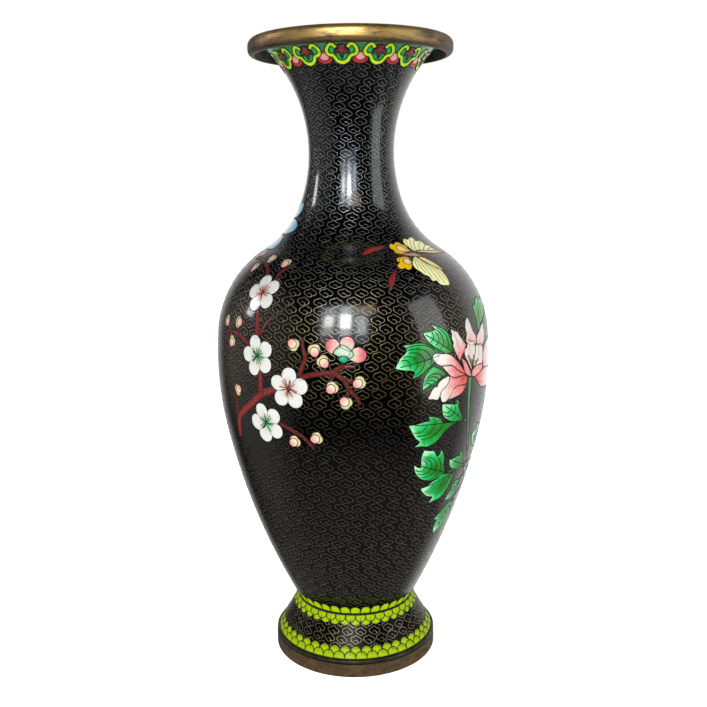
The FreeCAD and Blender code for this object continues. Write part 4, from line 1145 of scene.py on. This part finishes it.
# ------------------------------------------------------------------ floor, light and camera

FLOOR_SIDE = 6      # half the side of the floor, metres


def stage_floor():
    mesh = bpy.data.meshes.new("floor")
    corners = [(x * FLOOR_SIDE, y * FLOOR_SIDE, 0) for x, y in ((-1, -1), (1, -1), (1, 1), (-1, 1))]
    mesh.from_pydata(corners, [], [(0, 1, 2, 3)])
    shader = Shader("floor_pale", Roughness=0.6, Emission_Strength=0.95, Emission_Color=(1, 1, 1, 1))
    shader.feed("Base Color", shader.ramp(shader.noise(3, 2.0), [(0.3, 0.82), (0.7, 0.86)]))
    mesh.materials.append(shader.material)
    floor = bpy.data.objects.new("floor", mesh)
    floor.visible_glossy = False    # the enamel mirrors the darker studio instead
    bpy.context.collection.objects.link(floor)


WINDOW_DISTANCE = 1.6
VASE_MIDDLE = Vector((0, 0, 0.19))


def window(name, azimuth, elevation, radiance, colour=(1, 1, 1)):
    """A rectangular light facing the vase, between two azimuths and two elevations in degrees.

    Azimuth 0 is the front and 90 the right side.
    """
    middle_a, middle_e = radians(sum(azimuth) / 2), radians(sum(elevation) / 2)
    light = bpy.data.lights.new(name, "AREA")
    light.shape = "RECTANGLE"
    light.size = WINDOW_DISTANCE * radians(azimuth[1] - azimuth[0])
    light.size_y = WINDOW_DISTANCE * radians(elevation[1] - elevation[0])
    light.energy = radiance * pi * light.size * light.size_y
    light.color = colour
    lamp = bpy.data.objects.new(name, light)
    way = Vector((sin(middle_a) * cos(middle_e), -cos(middle_a) * cos(middle_e), sin(middle_e)))
    lamp.location = VASE_MIDDLE + WINDOW_DISTANCE * way
    lamp.rotation_euler = way.to_track_quat("Z", "Y").to_euler()
    bpy.context.collection.objects.link(lamp)


def studio_world():
    """White behind the vase and more so on its right, dim in front, grey below and to the sides.

    The camera sees it plain white.
    """
    world = bpy.data.worlds.new("studio")
    world.use_nodes = True
    graph = Graph(world.node_tree)
    direction = graph.node("TexCoord").outputs["Generated"]
    x, y, z = graph.node("SeparateXYZ", [(0, direction)]).outputs

    def band(source, low, high, dim, bright):
        ends = [("Value", source), ("From Min", low), ("From Max", high), ("To Min", dim),
        ("To Max", bright)]
        return graph.node("MapRange", ends, interpolation_type="SMOOTHSTEP").outputs[0]

    behind = band(graph.math("MULTIPLY_ADD", x, 0.3, y), 0.45, 1.0, 0.012, 1.1)
    below = band(z, -0.5, -0.8, 0.0, 0.13)
    beside = band(graph.math("ABSOLUTE", x), 0.6, 0.95, 0.0, 0.3)
    total = graph.math("ADD", graph.math("ADD", behind, below), beside)
    seen = graph.node("LightPath").outputs["Is Camera Ray"]
    background = graph.nodes["Background"]
    background.inputs["Color"].default_value = (1, 1, 1, 1)
    strength = graph.node("Mix", [(0, seen), (2, total), (3, 1.0)]).outputs[0]
    graph.links.new(strength, background.inputs["Strength"])
    bpy.context.scene.world = world


stage_floor()
studio_world()
window("window_glow", (-28, 13), (3, 43), 1.5, (0.68, 0.82, 1))
window("window_left_pane", (-25, -16.5), (12, 40), 4, (0.78, 0.88, 1))
window("window_left_shine", (-24, -17.5), (20, 31), 13, (1, 0.96, 0.9))
window("window_middle_pane", (-10.5, -2), (11, 43), 7, (0.85, 0.92, 1))
window("window_middle_shine", (-10, -2.5), (19.5, 33), 26)
window("window_right_pane", (3.5, 11), (13, 31), 6, (0.85, 0.92, 1))
window("brown_curtain", (3, 20), (33, 43), 2.6, (1, 0.68, 0.45))
window("window_right", (55, 82), (-22, 40), 1.9, (0.93, 0.97, 1))
window("window_left", (-104, -96), (13, 27), 10, (0.95, 0.93, 1))

camera_data = bpy.data.cameras.new("camera")
camera_data.sensor_width = 36
camera_data.lens = 45.72
camera_data.shift_y = -0.1122
camera = bpy.data.objects.new("camera", camera_data)
CAMERA_PLACE = (0, -0.44845, 0.236)
PITCH, ROLL, YAW = 0.1022, -0.0087, -0.0012     # radians
camera.matrix_world = (Matrix.Translation(CAMERA_PLACE) @ Matrix.Rotation(YAW, 4, "Z")
                       @ Matrix.Rotation(pi / 2 - PITCH, 4, "X") @ Matrix.Rotation(ROLL, 4, "Z"))
bpy.context.collection.objects.link(camera)
bpy.context.scene.camera = camera
bpy.context.scene.view_settings.view_transform = "Standard"
